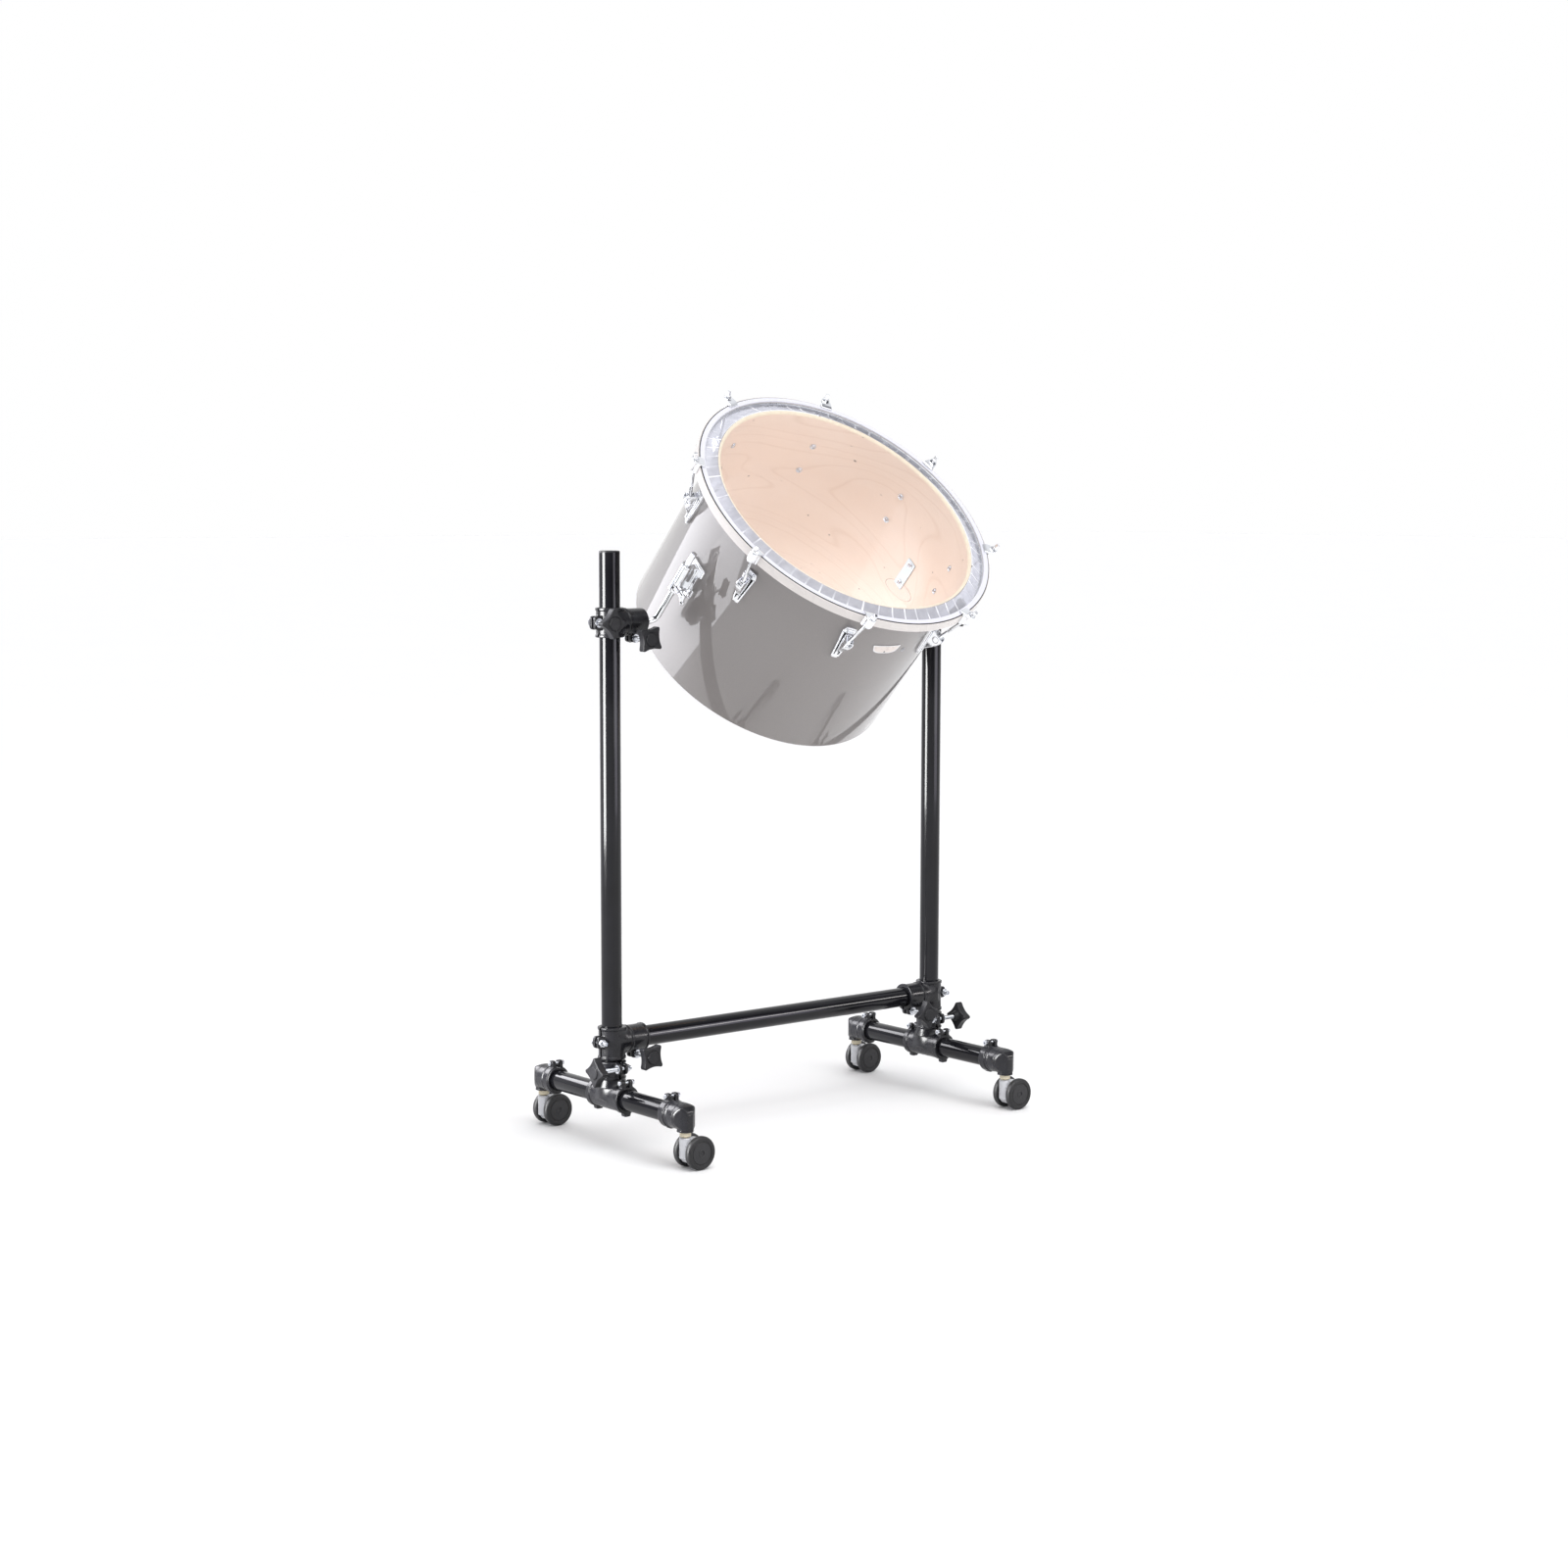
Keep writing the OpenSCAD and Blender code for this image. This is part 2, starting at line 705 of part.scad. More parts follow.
// Clamp band around a horizontal sleeve, with its ears on top and its hinge lug below; axis Y
module band(width) {
    rotate([90, 0, 0]) cylinder(r = band_r, h = width, center = true, $fn = 96);
    for (s = [-1, 1]) translate([s * 7.5, 0, band_ear_z - 5]) cube([8, width, 16], center = true);
    for (s = [-1, 1]) translate([s * 7.5, 0, band_ear_z + 3]) rotate([0, 90, 0])
        cylinder(r = width / 2, h = 8, center = true, $fn = 32);
    translate([-7, -width / 2, -band_r - 5]) cube([14, width, 12]);
}

module band_cuts(width) {
    translate([0, 0, band_ear_z + 3]) rotate([0, 90, 0]) cylinder(r = 2.6, h = 60, center = true, $fn = 32);
    translate([-3.5, -width, cast_r - 2]) cube([7, 2 * width, 40]);
}

module band_bolt() {
    translate([0, 0, band_ear_z + 3]) rotate([0, 90, 0]) {
        cylinder(r = 2.5, h = 34, center = true, $fn = 24);
        translate([0, 0, 11.6]) cylinder(r = 4.6, h = 5, $fn = 32);
        translate([0, 0, -15.6]) cylinder(r = 4.6, h = 4, $fn = 6);
    }
}

// The tee that joins a leg tube to its upright; frame on the upright's axis at the floor
module leg_tee() {
    band_y = leg_sleeve_half - band_w / 2;
    difference() {
        union() {
            translate([0, 0, leg_z]) rotate([90, 0, 0])
                cylinder(r = cast_r, h = 2 * leg_sleeve_half, center = true, $fn = 96);
            translate([0, 0, leg_z]) cylinder(r = cast_r, h = leg_collar_top - leg_z, $fn = 96);
            translate([0, 0, leg_z + 18]) cylinder(r1 = cast_r + 5, r2 = cast_r, h = 14, $fn = 96);
            for (z = [leg_z + 33, leg_collar_top - 5]) translate([0, 0, z])
                cylinder(r = cast_r + 1.6, h = 4, $fn = 96);
            for (s = [-1, 1]) translate([0, s * band_y, leg_z]) band(band_w);
            translate([0, 0, leg_collar_z]) rotate([0, 0, -90]) ears(20, ear_out);
        }
        translate([0, 0, leg_z]) rotate([90, 0, 0]) cylinder(r = bore_r, h = 400, center = true, $fn = 128);
        translate([0, 0, upright_foot - 0.5]) cylinder(r = bore_r, h = 200, $fn = 128);
        for (s = [-1, 1]) translate([0, s * band_y, leg_z]) band_cuts(band_w);
        translate([-ear_gap, -100, leg_z + 33]) cube([2 * ear_gap, 100, 200]);
        translate([0, -bolt_at, leg_collar_z]) rotate([0, 0, 90]) bolt_hole();
    }
}

module leg_tube() {
    translate([0, 0, leg_z]) rotate([90, 0, 0]) difference() {
        cylinder(r = tube_r, h = 2 * (leg_reach - 14), center = true, $fn = 128);
        cylinder(r = tube_r - tube_wall, h = 2 * leg_reach, center = true, $fn = 96);
    }
}

// Mitred corner of an elbow, from the sleeve's end to the front of the outlet
module elbow_turn() {
    intersection() {
        translate([0, 12, 0]) rotate([90, 0, 0]) cylinder(r = cast_r, h = 40, $fn = 96);
        rotate([90, 0, 90]) linear_extrude(height = 60, center = true) polygon([
            [11, cast_r + 1],
            [3, cast_r + 1],
            [-8, 19],
            [-14, 10],
            [-14, -22],
            [11, -cast_r - 1]
        ]);
        linear_extrude(height = 60, center = true) polygon([
            [-cast_r - 1, 11],
            [-cast_r - 1, 5],
            [-15, -8],
            [-7, -14.1],
            [7, -14.1],
            [15, -8],
            [cast_r + 1, 5],
            [cast_r + 1, 11]
        ]);
    }
}

// Elbow at the front end of a leg; the outlet points down at the caster
module elbow() {
    translate([0, -leg_reach, leg_z]) difference() {
        union() {
            translate([0, 9, 0]) rotate([-90, 0, 0]) cylinder(r = cast_r, h = 41, $fn = 96);
            elbow_turn();
            translate([0, 0, outlet_z - leg_z]) rotate([0, 0, 22.5])
                cylinder(r = outlet_r, h = leg_z - outlet_z + 8, $fn = 8);
            translate([0, leg_reach - elbow_band_y, 0]) band(14);
        }
        rotate([-90, 0, 0]) translate([0, 0, 13.5]) cylinder(r = bore_r, h = 80, $fn = 128);
        translate([0, 0, -60]) cylinder(r = stem_r + 0.05, h = 50, $fn = 48);
        translate([0, leg_reach - elbow_band_y, 0]) band_cuts(14);
    }
}

module leg_elbows() {
    elbow();
    mirror([0, 1, 0]) elbow();
}

module leg_bolts() {
    band_y = leg_sleeve_half - band_w / 2;
    for (y = [-elbow_band_y, -band_y, band_y, elbow_band_y]) translate([0, y, leg_z]) band_bolt();
    translate([ear_gap + ear_t + 0.1, -bolt_at, leg_collar_z]) rotate([0, 90, 0]) hex_nut(13, 7);
}

module leg_knob() {
    translate([0, -bolt_at, leg_collar_z]) rotate([0, 90, 0])
        knob(knob_centre + 3, knob_centre + 15 + ear_gap + ear_t, 0);
}

module leg_tee_left() {
    color(black) at_upright(-1) leg_tee();
}

module leg_tee_right() {
    color(black) at_upright(1) leg_tee();
}

module leg_tube_left() {
    color(black) at_upright(-1) leg_tube();
}

module leg_tube_right() {
    color(black) at_upright(1) leg_tube();
}

module leg_knob_left() {
    color(black) at_upright(-1) leg_knob();
}

module leg_knob_right() {
    color(black) at_upright(1) leg_knob();
}

module leg_elbows_left() {
    color(black) at_upright(-1) leg_elbows();
}

module leg_elbows_right() {
    color(black) at_upright(1) leg_elbows();
}

module leg_bolts_left() {
    color("#8b8d92") at_upright(-1) leg_bolts();
}

module leg_bolts_right() {
    color("#8b8d92") at_upright(1) leg_bolts();
}

// ---------- casters ----------

module caster_stem() {
    translate([0, 0, outlet_z - bush_h]) cylinder(r = bush_r, h = bush_h - 0.05, $fn = 48);
    translate([0, 0, 34]) cylinder(r = stem_r, h = leg_z - 12 - 34, $fn = 48);
}

module caster_stems(side) {
    color("#d8c49a") at_upright(side) for (s = [-1, 1]) translate([0, s * leg_reach, 0]) caster_stem();
}

// Hood between the two wheel discs. Both sides trail towards +X of the whole stand
module caster_hood() {
    difference() {
        union() {
            translate([trail, 0, wheel_r]) rotate([90, 0, 0])
                cylinder(r = hood_r, h = 2 * hood_half, center = true, $fn = 72);
            cylinder(r = hood_half, h = hood_top, $fn = 48);
            translate([0, -hood_half, wheel_r]) cube([trail, 2 * hood_half, hood_top - wheel_r - 4]);
        }
        translate([0, 0, 33]) cylinder(r = stem_r + run_gap, h = 60, $fn = 48);
        translate([trail, 0, wheel_r]) rotate([90, 0, 0])
            cylinder(r = axle_r + run_gap, h = 60, center = true, $fn = 48);
        translate([-60, -30, -1]) cube([120, 60, 13]);
    }
}

module wheel_disc() {
    edge = 2.5;
    rotate_extrude($fn = 96) polygon([
        [0, 0],
        [wheel_r - edge, 0],
        [wheel_r, edge],
        [wheel_r, wheel_t - 3],
        [wheel_r - 3, wheel_t],
        [20, wheel_t],
        [19, wheel_t - 0.8],
        [0, wheel_t - 0.8]
    ]);
}

module caster_wheels() {
    translate([trail, 0, wheel_r]) {
        for (s = [0, 1]) mirror([0, s, 0])
            translate([0, -hood_half - 0.5, 0]) rotate([90, 0, 0]) wheel_disc();
        rotate([90, 0, 0]) cylinder(r = axle_r, h = 2 * hood_half + 4, center = true, $fn = 48);
    }
}

module at_caster(side, end) {
    on_stand() translate([side * half_gap, end * leg_reach, 0]) children();
}

module caster_stems_left() {
    caster_stems(-1);
}

module caster_stems_right() {
    caster_stems(1);
}

module caster_hood_front_left() {
    color("#dcdde2") at_caster(-1, -1) caster_hood();
}

module caster_hood_front_right() {
    color("#dcdde2") at_caster(1, -1) caster_hood();
}

module caster_hood_rear_left() {
    color("#dcdde2") at_caster(-1, 1) caster_hood();
}

module caster_hood_rear_right() {
    color("#dcdde2") at_caster(1, 1) caster_hood();
}

module caster_wheels_front_left() {
    color("#1b1b1e") at_caster(-1, -1) caster_wheels();
}

module caster_wheels_front_right() {
    color("#1b1b1e") at_caster(1, -1) caster_wheels();
}

module caster_wheels_rear_left() {
    color("#1b1b1e") at_caster(-1, 1) caster_wheels();
}

module caster_wheels_rear_right() {
    color("#1b1b1e") at_caster(1, 1) caster_wheels();
}

shell();
head_film();
flesh_hoop();
counterhoop();
claws();
tension_rods();
rod_washers();
lugs();
swivel_nuts();
lug_screws();
bracket_left();
bracket_right();
bracket_plates();
bracket_screws();
badge();
vent_grommet();
wing_bolt_left();
wing_bolt_right();
mounting_rod_left();
mounting_rod_right();
upper_clamp_left();
upper_clamp_right();
height_knob_left();
height_knob_right();
tilt_knob_left();
tilt_knob_right();
clamp_nuts_left();
clamp_nuts_right();
upright_left();
upright_right();
upright_caps();
crossbar();
lower_tee_left();
lower_tee_right();
crossbar_knob_left();
crossbar_knob_right();
tee_bolts();
leg_tee_left();
leg_tee_right();
leg_tube_left();
leg_tube_right();
leg_knob_left();
leg_knob_right();
leg_elbows_left();
leg_elbows_right();
leg_bolts_left();
leg_bolts_right();
caster_stems_left();
caster_stems_right();
caster_hood_front_left();
caster_hood_front_right();
caster_hood_rear_left();
caster_hood_rear_right();
caster_wheels_front_left();
caster_wheels_front_right();
caster_wheels_rear_left();
caster_wheels_rear_right();
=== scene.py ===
"""Looks of a gong bass drum on a wheeled pipe stand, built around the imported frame.

Shapes are worked out in millimetres in a local frame and placed in metres in the frame's own axes.
"""
import json
import math

import bmesh
import bpy
import numpy as np
from mathutils import Matrix, Vector

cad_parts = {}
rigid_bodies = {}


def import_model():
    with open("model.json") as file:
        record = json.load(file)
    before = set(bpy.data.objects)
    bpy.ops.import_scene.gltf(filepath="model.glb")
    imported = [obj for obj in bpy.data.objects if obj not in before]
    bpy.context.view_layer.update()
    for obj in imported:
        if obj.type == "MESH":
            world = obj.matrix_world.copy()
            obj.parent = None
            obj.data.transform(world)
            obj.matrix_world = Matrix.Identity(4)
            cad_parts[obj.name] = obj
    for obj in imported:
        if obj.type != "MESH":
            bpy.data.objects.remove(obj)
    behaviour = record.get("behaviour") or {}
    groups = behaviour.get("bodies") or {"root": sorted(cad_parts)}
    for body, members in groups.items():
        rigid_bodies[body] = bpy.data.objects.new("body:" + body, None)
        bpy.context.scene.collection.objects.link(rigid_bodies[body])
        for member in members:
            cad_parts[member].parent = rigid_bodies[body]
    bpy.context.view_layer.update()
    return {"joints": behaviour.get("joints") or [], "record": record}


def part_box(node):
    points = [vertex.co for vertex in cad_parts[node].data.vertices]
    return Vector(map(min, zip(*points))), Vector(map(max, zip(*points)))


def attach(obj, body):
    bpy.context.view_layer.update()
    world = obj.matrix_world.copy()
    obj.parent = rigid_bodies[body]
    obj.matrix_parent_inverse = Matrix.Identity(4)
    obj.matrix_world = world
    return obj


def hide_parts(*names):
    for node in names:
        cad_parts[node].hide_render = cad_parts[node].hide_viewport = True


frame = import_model()

MM = 0.001
joints = {joint["name"]: joint for joint in frame["joints"]}
mounts = {mount["name"]: mount for mount in frame["record"]["mounts"]}

# ---------- places, from the frame ----------

half_gap = joints["leg_swivel_right"]["pos_m"][0] / MM
stand_y = joints["leg_swivel_right"]["pos_m"][1] / MM
pivot_z = joints["drum_tilt"]["pos_m"][2] / MM
leg_reach = joints["swivel_rear_right"]["pos_m"][1] / MM - stand_y
trail = joints["roll_front_right"]["pos_m"][0] / MM - half_gap
axle_z = joints["roll_front_right"]["pos_m"][2] / MM
leg_z = sum(corner[2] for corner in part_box("leg_tube_left")) / 2 / MM
crossbar_z = sum(corner[2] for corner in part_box("crossbar")) / 2 / MM
upright_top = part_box("upright_caps")[1][2] / MM
tube_r = (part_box("upright_left")[1][0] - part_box("upright_left")[0][0]) / 2 / MM
crossbar_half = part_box("crossbar")[1][0] / MM
head_axis = Vector(mounts["head_face"]["axis"]).normalized()
head_centre = Vector(mounts["head_face"]["pos_m"])
pivot = Vector((0, stand_y * MM, pivot_z * MM))
pivot_drop = (head_centre - pivot).dot(head_axis) / MM - 0.62

# ---------- driving dimensions, in millimetres ----------

shell_r = 254
shell_len = 355.6
shell_wall = 7.5
shell_in_r = shell_r - shell_wall
hoop_in_r = 278
hoop_out_r = 291
hoop_top = -1
hoop_h = 18
rod_circle_r = 300
tension_r = 3
nut_drop = 81
nut_radius = 273
rod_lean = math.atan((rod_circle_r - nut_radius) / nut_drop)
rod_slope = math.tan(rod_lean)
lug_count = 8
lug_first_angle = 22.5
lug_top = -60
lug_len = 72
claw_top = 5
screw_drops = (65, 124)
bracket_mid = 174
bracket_low = -bracket_mid - 31
arm_r = 5.5
arm_offset = 283
arm_bend_r = 16
vent_angle = 279
flute_count = 60
vent_drop = 107
badge_angle = 268.5
badge_drop = 91
cast_r = tube_r + 5.5
bolt_at = cast_r + 5
side_bolt_x = 50
bore_r = tube_r + 0.22
bolt_hole_r = 4.15
hole_edge = 0.1
ear_gap = 2.0
ear_t = 7.0
ear_face = ear_gap + ear_t
knob_centre = 50
knob_r = 27
knob_t = 15
leg_collar_z = 147
leg_knob_z = leg_collar_z - leg_z
leg_collar_top = 159
leg_sleeve_half = 48
leg_band_y = leg_sleeve_half - 5.5
leg_band_w = 11
elbow_band_at = 40
elbow_band_y = leg_reach - elbow_band_at
band_ear_z = 27.5
band_bolt_z = band_ear_z + 3
elbow_low = 67.5
wheel_r = axle_z
hood_half = 11
disc_t = 11.95
fine = 1.0
CORNERS = [(i, j, k) for i in (0, 1) for j in (0, 1) for k in (0, 1)]

# ---------- frames ----------


def shift(x, y, z):
    return Matrix.Translation(Vector((x, y, z)) * MM)


def turn(degrees, axis):
    return Matrix.Rotation(math.radians(degrees), 4, axis)


def scaled_x(factor):
    """Scale along X; -1 mirrors left and right."""
    return Matrix.Scale(factor, 4, Vector((1, 0, 0)))


def drum_frame():
    """The drum's own frame: origin at the head's centre, +Z out of the head."""
    across = Vector((1, 0, 0))
    up = head_axis.cross(across)
    matrix = Matrix((across, up, head_axis)).transposed().to_4x4()
    matrix.translation = pivot + head_axis * pivot_drop * MM
    return matrix


DRUM = drum_frame()
SIDES = {"left": -1, "right": 1}
ENDS = {"front": -1, "rear": 1}


def at_upright(side, z=0):
    return shift(side * half_gap, stand_y, z)


def added(name, data):
    """A new object in the scene."""
    obj = bpy.data.objects.new(name, data)
    bpy.context.scene.collection.objects.link(obj)
    return obj


# ---------- solids as distance fields: negative inside ----------


def length(rows):
    return np.sqrt((rows * rows).sum(axis=1))


def radial_of(p):
    """Distance of each point from the Z axis."""
    return np.sqrt(p[:, 0] ** 2 + p[:, 1] ** 2)


def soft_min(a, b, soft):
    """The smaller of two distances, with a fillet as wide as soft where they meet."""
    near = np.maximum(soft - np.abs(a - b), 0) / soft
    return np.minimum(a, b) - near * near * soft / 4


def join(soft, *fields):
    total = fields[0]
    for field in fields[1:]:
        total = soft_min(total, field, soft)
    return total


def meet(soft, *fields):
    return -join(soft, *[-field for field in fields])


def cut(soft, body, *holes):
    return meet(soft, body, *[-hole for hole in holes])


def ball(p, centre, radius):
    return length(p - np.array(centre, float)) - radius


def rod(p, start, end, radius, edge=0.5, end_radius=None):
    """Round bar from start to end with rounded rims; with end_radius it tapers."""
    start, end = np.array(start, float), np.array(end, float)
    reach = np.linalg.norm(end - start)
    along = (p - start) @ ((end - start) / reach)
    off = length(p - start - np.outer(along, (end - start) / reach))
    if end_radius is None:
        side = off - radius
    else:
        slope = (end_radius - radius) / reach
        side = (off - radius - slope * along) / math.sqrt(1 + slope * slope)
    return meet(edge * 2, side, np.abs(along - reach / 2) - reach / 2)


def plate(p, low, high, thin, corner, edge=0.5):
    """Box from low to high whose outline across the thin axis has round corners."""
    low, high = np.array(low, float), np.array(high, float)
    q = np.abs(p - (low + high) / 2) - (high - low) / 2
    wide = [axis for axis in range(3) if axis != thin]
    flat = q[:, wide] + corner
    outline = length(np.maximum(flat, 0)) + np.minimum(flat.max(axis=1), 0) - corner
    return meet(edge * 2, outline, q[:, thin])


def prism(p, corners, thin, half, edge=0.5, middle=0.0):
    """Convex outline, counter-clockwise in the two axes other than thin, drawn out along thin."""
    wide = [axis for axis in range(3) if axis != thin]
    sides = []
    for (x0, y0), (x1, y1) in zip(corners, corners[1:] + corners[:1]):
        reach = math.hypot(x1 - x0, y1 - y0)
        out_x, out_y = (y1 - y0) / reach, (x0 - x1) / reach
        sides.append((p[:, wide[0]] - x0) * out_x + (p[:, wide[1]] - y0) * out_y)
    return meet(edge * 2, *sides, np.abs(p[:, thin] - middle) - half)


def corner_slices(counts):
    """Eight slices of a grid, one for each corner of its cells."""
    return [tuple(slice(step, step + count) for step, count in zip(corner, counts)) for corner in CORNERS]


def grid_net(field, low, cell):
    """Points and four-cornered faces of the zero surface of a grid of distances."""
    inside = (field < 0).astype(int)
    corners = sum(inside[part] for part in corner_slices([n - 1 for n in inside.shape]))
    mixed = (corners > 0) & (corners < 8)
    number = np.full(mixed.shape, -1)
    number[mixed] = np.arange(mixed.sum())
    total = np.zeros((mixed.sum(), 3))
    hits = np.zeros(mixed.sum())
    quads = []
    for axis in range(3):
        u, v = (axis + 1) % 3, (axis + 2) % 3
        first, second = [slice(None)] * 3, [slice(None)] * 3
        first[axis], second[axis] = slice(None, -1), slice(1, None)
        start, end = field[tuple(first)], field[tuple(second)]
        cross = (start < 0) != (end < 0)
        for other in (u, v):
            edge = [slice(None)] * 3
            for last in (0, -1):
                edge[other] = last
                cross[tuple(edge)] = False
        spots = np.argwhere(cross)
        a, b = start[cross], end[cross]
        point = spots.astype(float)
        point[:, axis] += a / (a - b)
        ring = []
        for du, dv in ((0, 0), (-1, 0), (-1, -1), (0, -1)):
            cells = spots.copy()
            cells[:, u] += du
            cells[:, v] += dv
            ring.append(number[tuple(cells.T)])
        for owner in ring:
            np.add.at(total, owner, point)
            np.add.at(hits, owner, 1)
        quad = np.stack(ring, axis=1)
        quads.append(np.where((a < 0)[:, None], quad, quad[:, ::-1]))
    points = low + total / np.maximum(hits, 1)[:, None] * cell
    return points, np.concatenate(quads)


def slope_of(shape, points):
    """Value and gradient of a distance field at points."""
    step = 0.04
    corners = np.array([(1, -1, -1), (-1, -1, 1), (-1, 1, -1), (1, 1, 1)], float)
    values = [shape(points + step * corner) for corner in corners]
    gradient = sum(np.outer(value, corner) for value, corner in zip(values, corners)) / (4 * step)
    return sum(values) / 4, gradient


def carve(shape, low, high, cell, keep=0.35):
    """Triangles of the surface where shape(points) is zero.

    The grid is refined only near the surface; the net is thinned to a share and put back on the surface.
    """
    cell = cell * fine
    low = np.array(low, float)
    block = 4
    blocks = np.ceil((np.array(high, float) - low) / (cell * block)).astype(int)
    axes = [np.arange(n) for n in blocks]
    index = np.stack(np.meshgrid(*axes, indexing="ij"), axis=-1).reshape(-1, 3)
    middle = shape(low + (index + 0.5) * block * cell).reshape(blocks)
    near = np.abs(middle) < block * cell * 1.15 + 0.6
    whole = np.ones((block, block, block))
    spread = np.kron(near, whole) > 0
    signs = np.kron(np.where(middle > 0, 1.0, -1.0), whole)
    size = blocks * block + 1
    field = np.ones(size)
    wanted = np.zeros(size, bool)
    for part in corner_slices(size - 1):
        field[part] = signs
        wanted[part] |= spread
    field[wanted] = shape(low + np.argwhere(wanted) * cell)
    points, quads = grid_net(field, low, cell)
    points, triangles = thinned(points, quads, keep)
    for _ in range(2):
        value, gradient = slope_of(shape, points)
        points = points - gradient * (value / np.maximum((gradient * gradient).sum(axis=1), 0.2))[:, None]
    gradient = slope_of(shape, points)[1]
    return points, triangles, gradient / np.maximum(length(gradient), 1e-6)[:, None]


def thinned(points, quads, keep):
    """The net as triangles, decimated to a share of its faces."""
    mesh = bpy.data.meshes.new("thin")
    mesh.from_pydata(points.tolist(), [], quads.tolist())
    obj = added("thin", mesh)
    obj.modifiers.new("thin", "DECIMATE").ratio = keep
    result = bpy.data.meshes.new_from_object(obj.evaluated_get(bpy.context.evaluated_depsgraph_get()))
    result.calc_loop_triangles()
    triangles = np.zeros(len(result.loop_triangles) * 3, int)
    result.loop_triangles.foreach_get("vertices", triangles)
    found = np.zeros(len(result.vertices) * 3)
    result.vertices.foreach_get("co", found)
    bpy.data.objects.remove(obj)
    bpy.data.meshes.remove(mesh)
    bpy.data.meshes.remove(result)
    return found.reshape(-1, 3), triangles.reshape(-1, 3)


# ---------- turned and drawn shapes: points, faces, no normals ----------


def rounded(corners, radius, steps=4):
    """Closed outline whose corners are arcs. A corner may carry its own radius as a third number."""
    outline = []
    count = len(corners)
    for i, corner in enumerate(corners):
        here = np.array(corner[:2], float)
        before = np.array(corners[i - 1][:2], float) - here
        after = np.array(corners[(i + 1) % count][:2], float) - here
        own = corner[2] if len(corner) > 2 else radius
        reach = min(own, np.linalg.norm(before) / 2.1, np.linalg.norm(after) / 2.1)
        if reach < 1e-6:
            outline.append(tuple(here))
            continue
        start = here + before / np.linalg.norm(before) * reach
        end = here + after / np.linalg.norm(after) * reach
        for s in range(steps + 1):
            t = s / steps
            outline.append(tuple((1 - t) ** 2 * start + 2 * t * (1 - t) * here + t * t * end))
    return outline


def ring_quads(low, high, count):
    """Faces between two rings of points, given the number of each ring's first point."""
    pairs = [(s, (s + 1) % count) for s in range(count)]
    return [(low + s, low + t, high + t, high + s) for s, t in pairs]


def lathe(outline, segments=96, lift_of=None):
    """Turns a closed outline of (radius, height) about Z; lift_of(angles, row) gives height offsets."""
    angles = np.arange(segments) * 2 * math.pi / segments
    rows = []
    for row, (radius, height) in enumerate(outline):
        heights = height + (lift_of(angles, row) if lift_of else 0) + 0 * angles
        rows.append(np.stack([radius * np.cos(angles), radius * np.sin(angles), heights], axis=1))
    faces = []
    for row in range(len(outline)):
        faces += ring_quads(row * segments, (row + 1) % len(outline) * segments, segments)
    return np.concatenate(rows), faces, None


def sweep(path, radius, sides=32):
    """Round bar along a path of points, with domed ends."""
    path = [np.array(point, float) for point in path]
    dome = ((0.75, 0.7), (1.0, 0.05))
    last = len(path) - 1
    rings = []
    forward = path[1] - path[0]
    forward /= np.linalg.norm(forward)
    guide = np.cross(forward, (0.31, 0.95, 0.07))
    bulge = min(1.0, radius * 0.25)
    for i, point in enumerate(path):
        before = path[max(i - 1, 0)]
        after = path[min(i + 1, last)]
        forward = (after - before) / np.linalg.norm(after - before)
        guide = guide - forward * guide.dot(forward)
        guide /= np.linalg.norm(guide)
        other = np.cross(forward, guide)
        for out, share in dome[::-1] if i == 0 else ():
            rings.append((point + forward * bulge * (1 - out), radius * share, guide, other))
        inset = bulge * ((i == 0) - (i == last))
        rings.append((point + forward * inset, radius, guide, other))
        for out, share in dome if i == last else ():
            rings.append((point + forward * bulge * (out - 1), radius * share, guide, other))
    angles = np.arange(sides) * 2 * math.pi / sides
    points = np.concatenate([
        centre + r * (np.outer(np.cos(angles), a) + np.outer(np.sin(angles), b))
        for centre, r, a, b in rings])
    faces = []
    for row in range(len(rings) - 1):
        faces += ring_quads(row * sides, (row + 1) * sides, sides)
    faces.append(tuple(range(sides))[::-1])
    faces.append(tuple((len(rings) - 1) * sides + s for s in range(sides)))
    return points, faces, None


def moved(shape, matrix):
    """A shape carried by a matrix whose offset is in metres; a mirroring matrix turns the faces over."""
    points, faces, normals = shape
    linear = np.array(matrix.to_3x3())
    points = points @ linear.T + np.array(matrix.translation) / MM
    if normals is not None:
        normals = normals @ linear.T
    if matrix.to_3x3().determinant() < 0:
        faces = [tuple(face)[::-1] for face in faces]
    return points, faces, normals


def merged(shapes):
    points, faces, normals, start = [], [], [], 0
    for p, f, n in shapes:
        points.append(p)
        faces += [tuple(int(v) + start for v in face) for face in f]
        normals.append(n)
        start += len(p)
    whole = None if any(n is None for n in normals) else np.concatenate(normals)
    return np.concatenate(points), faces, whole


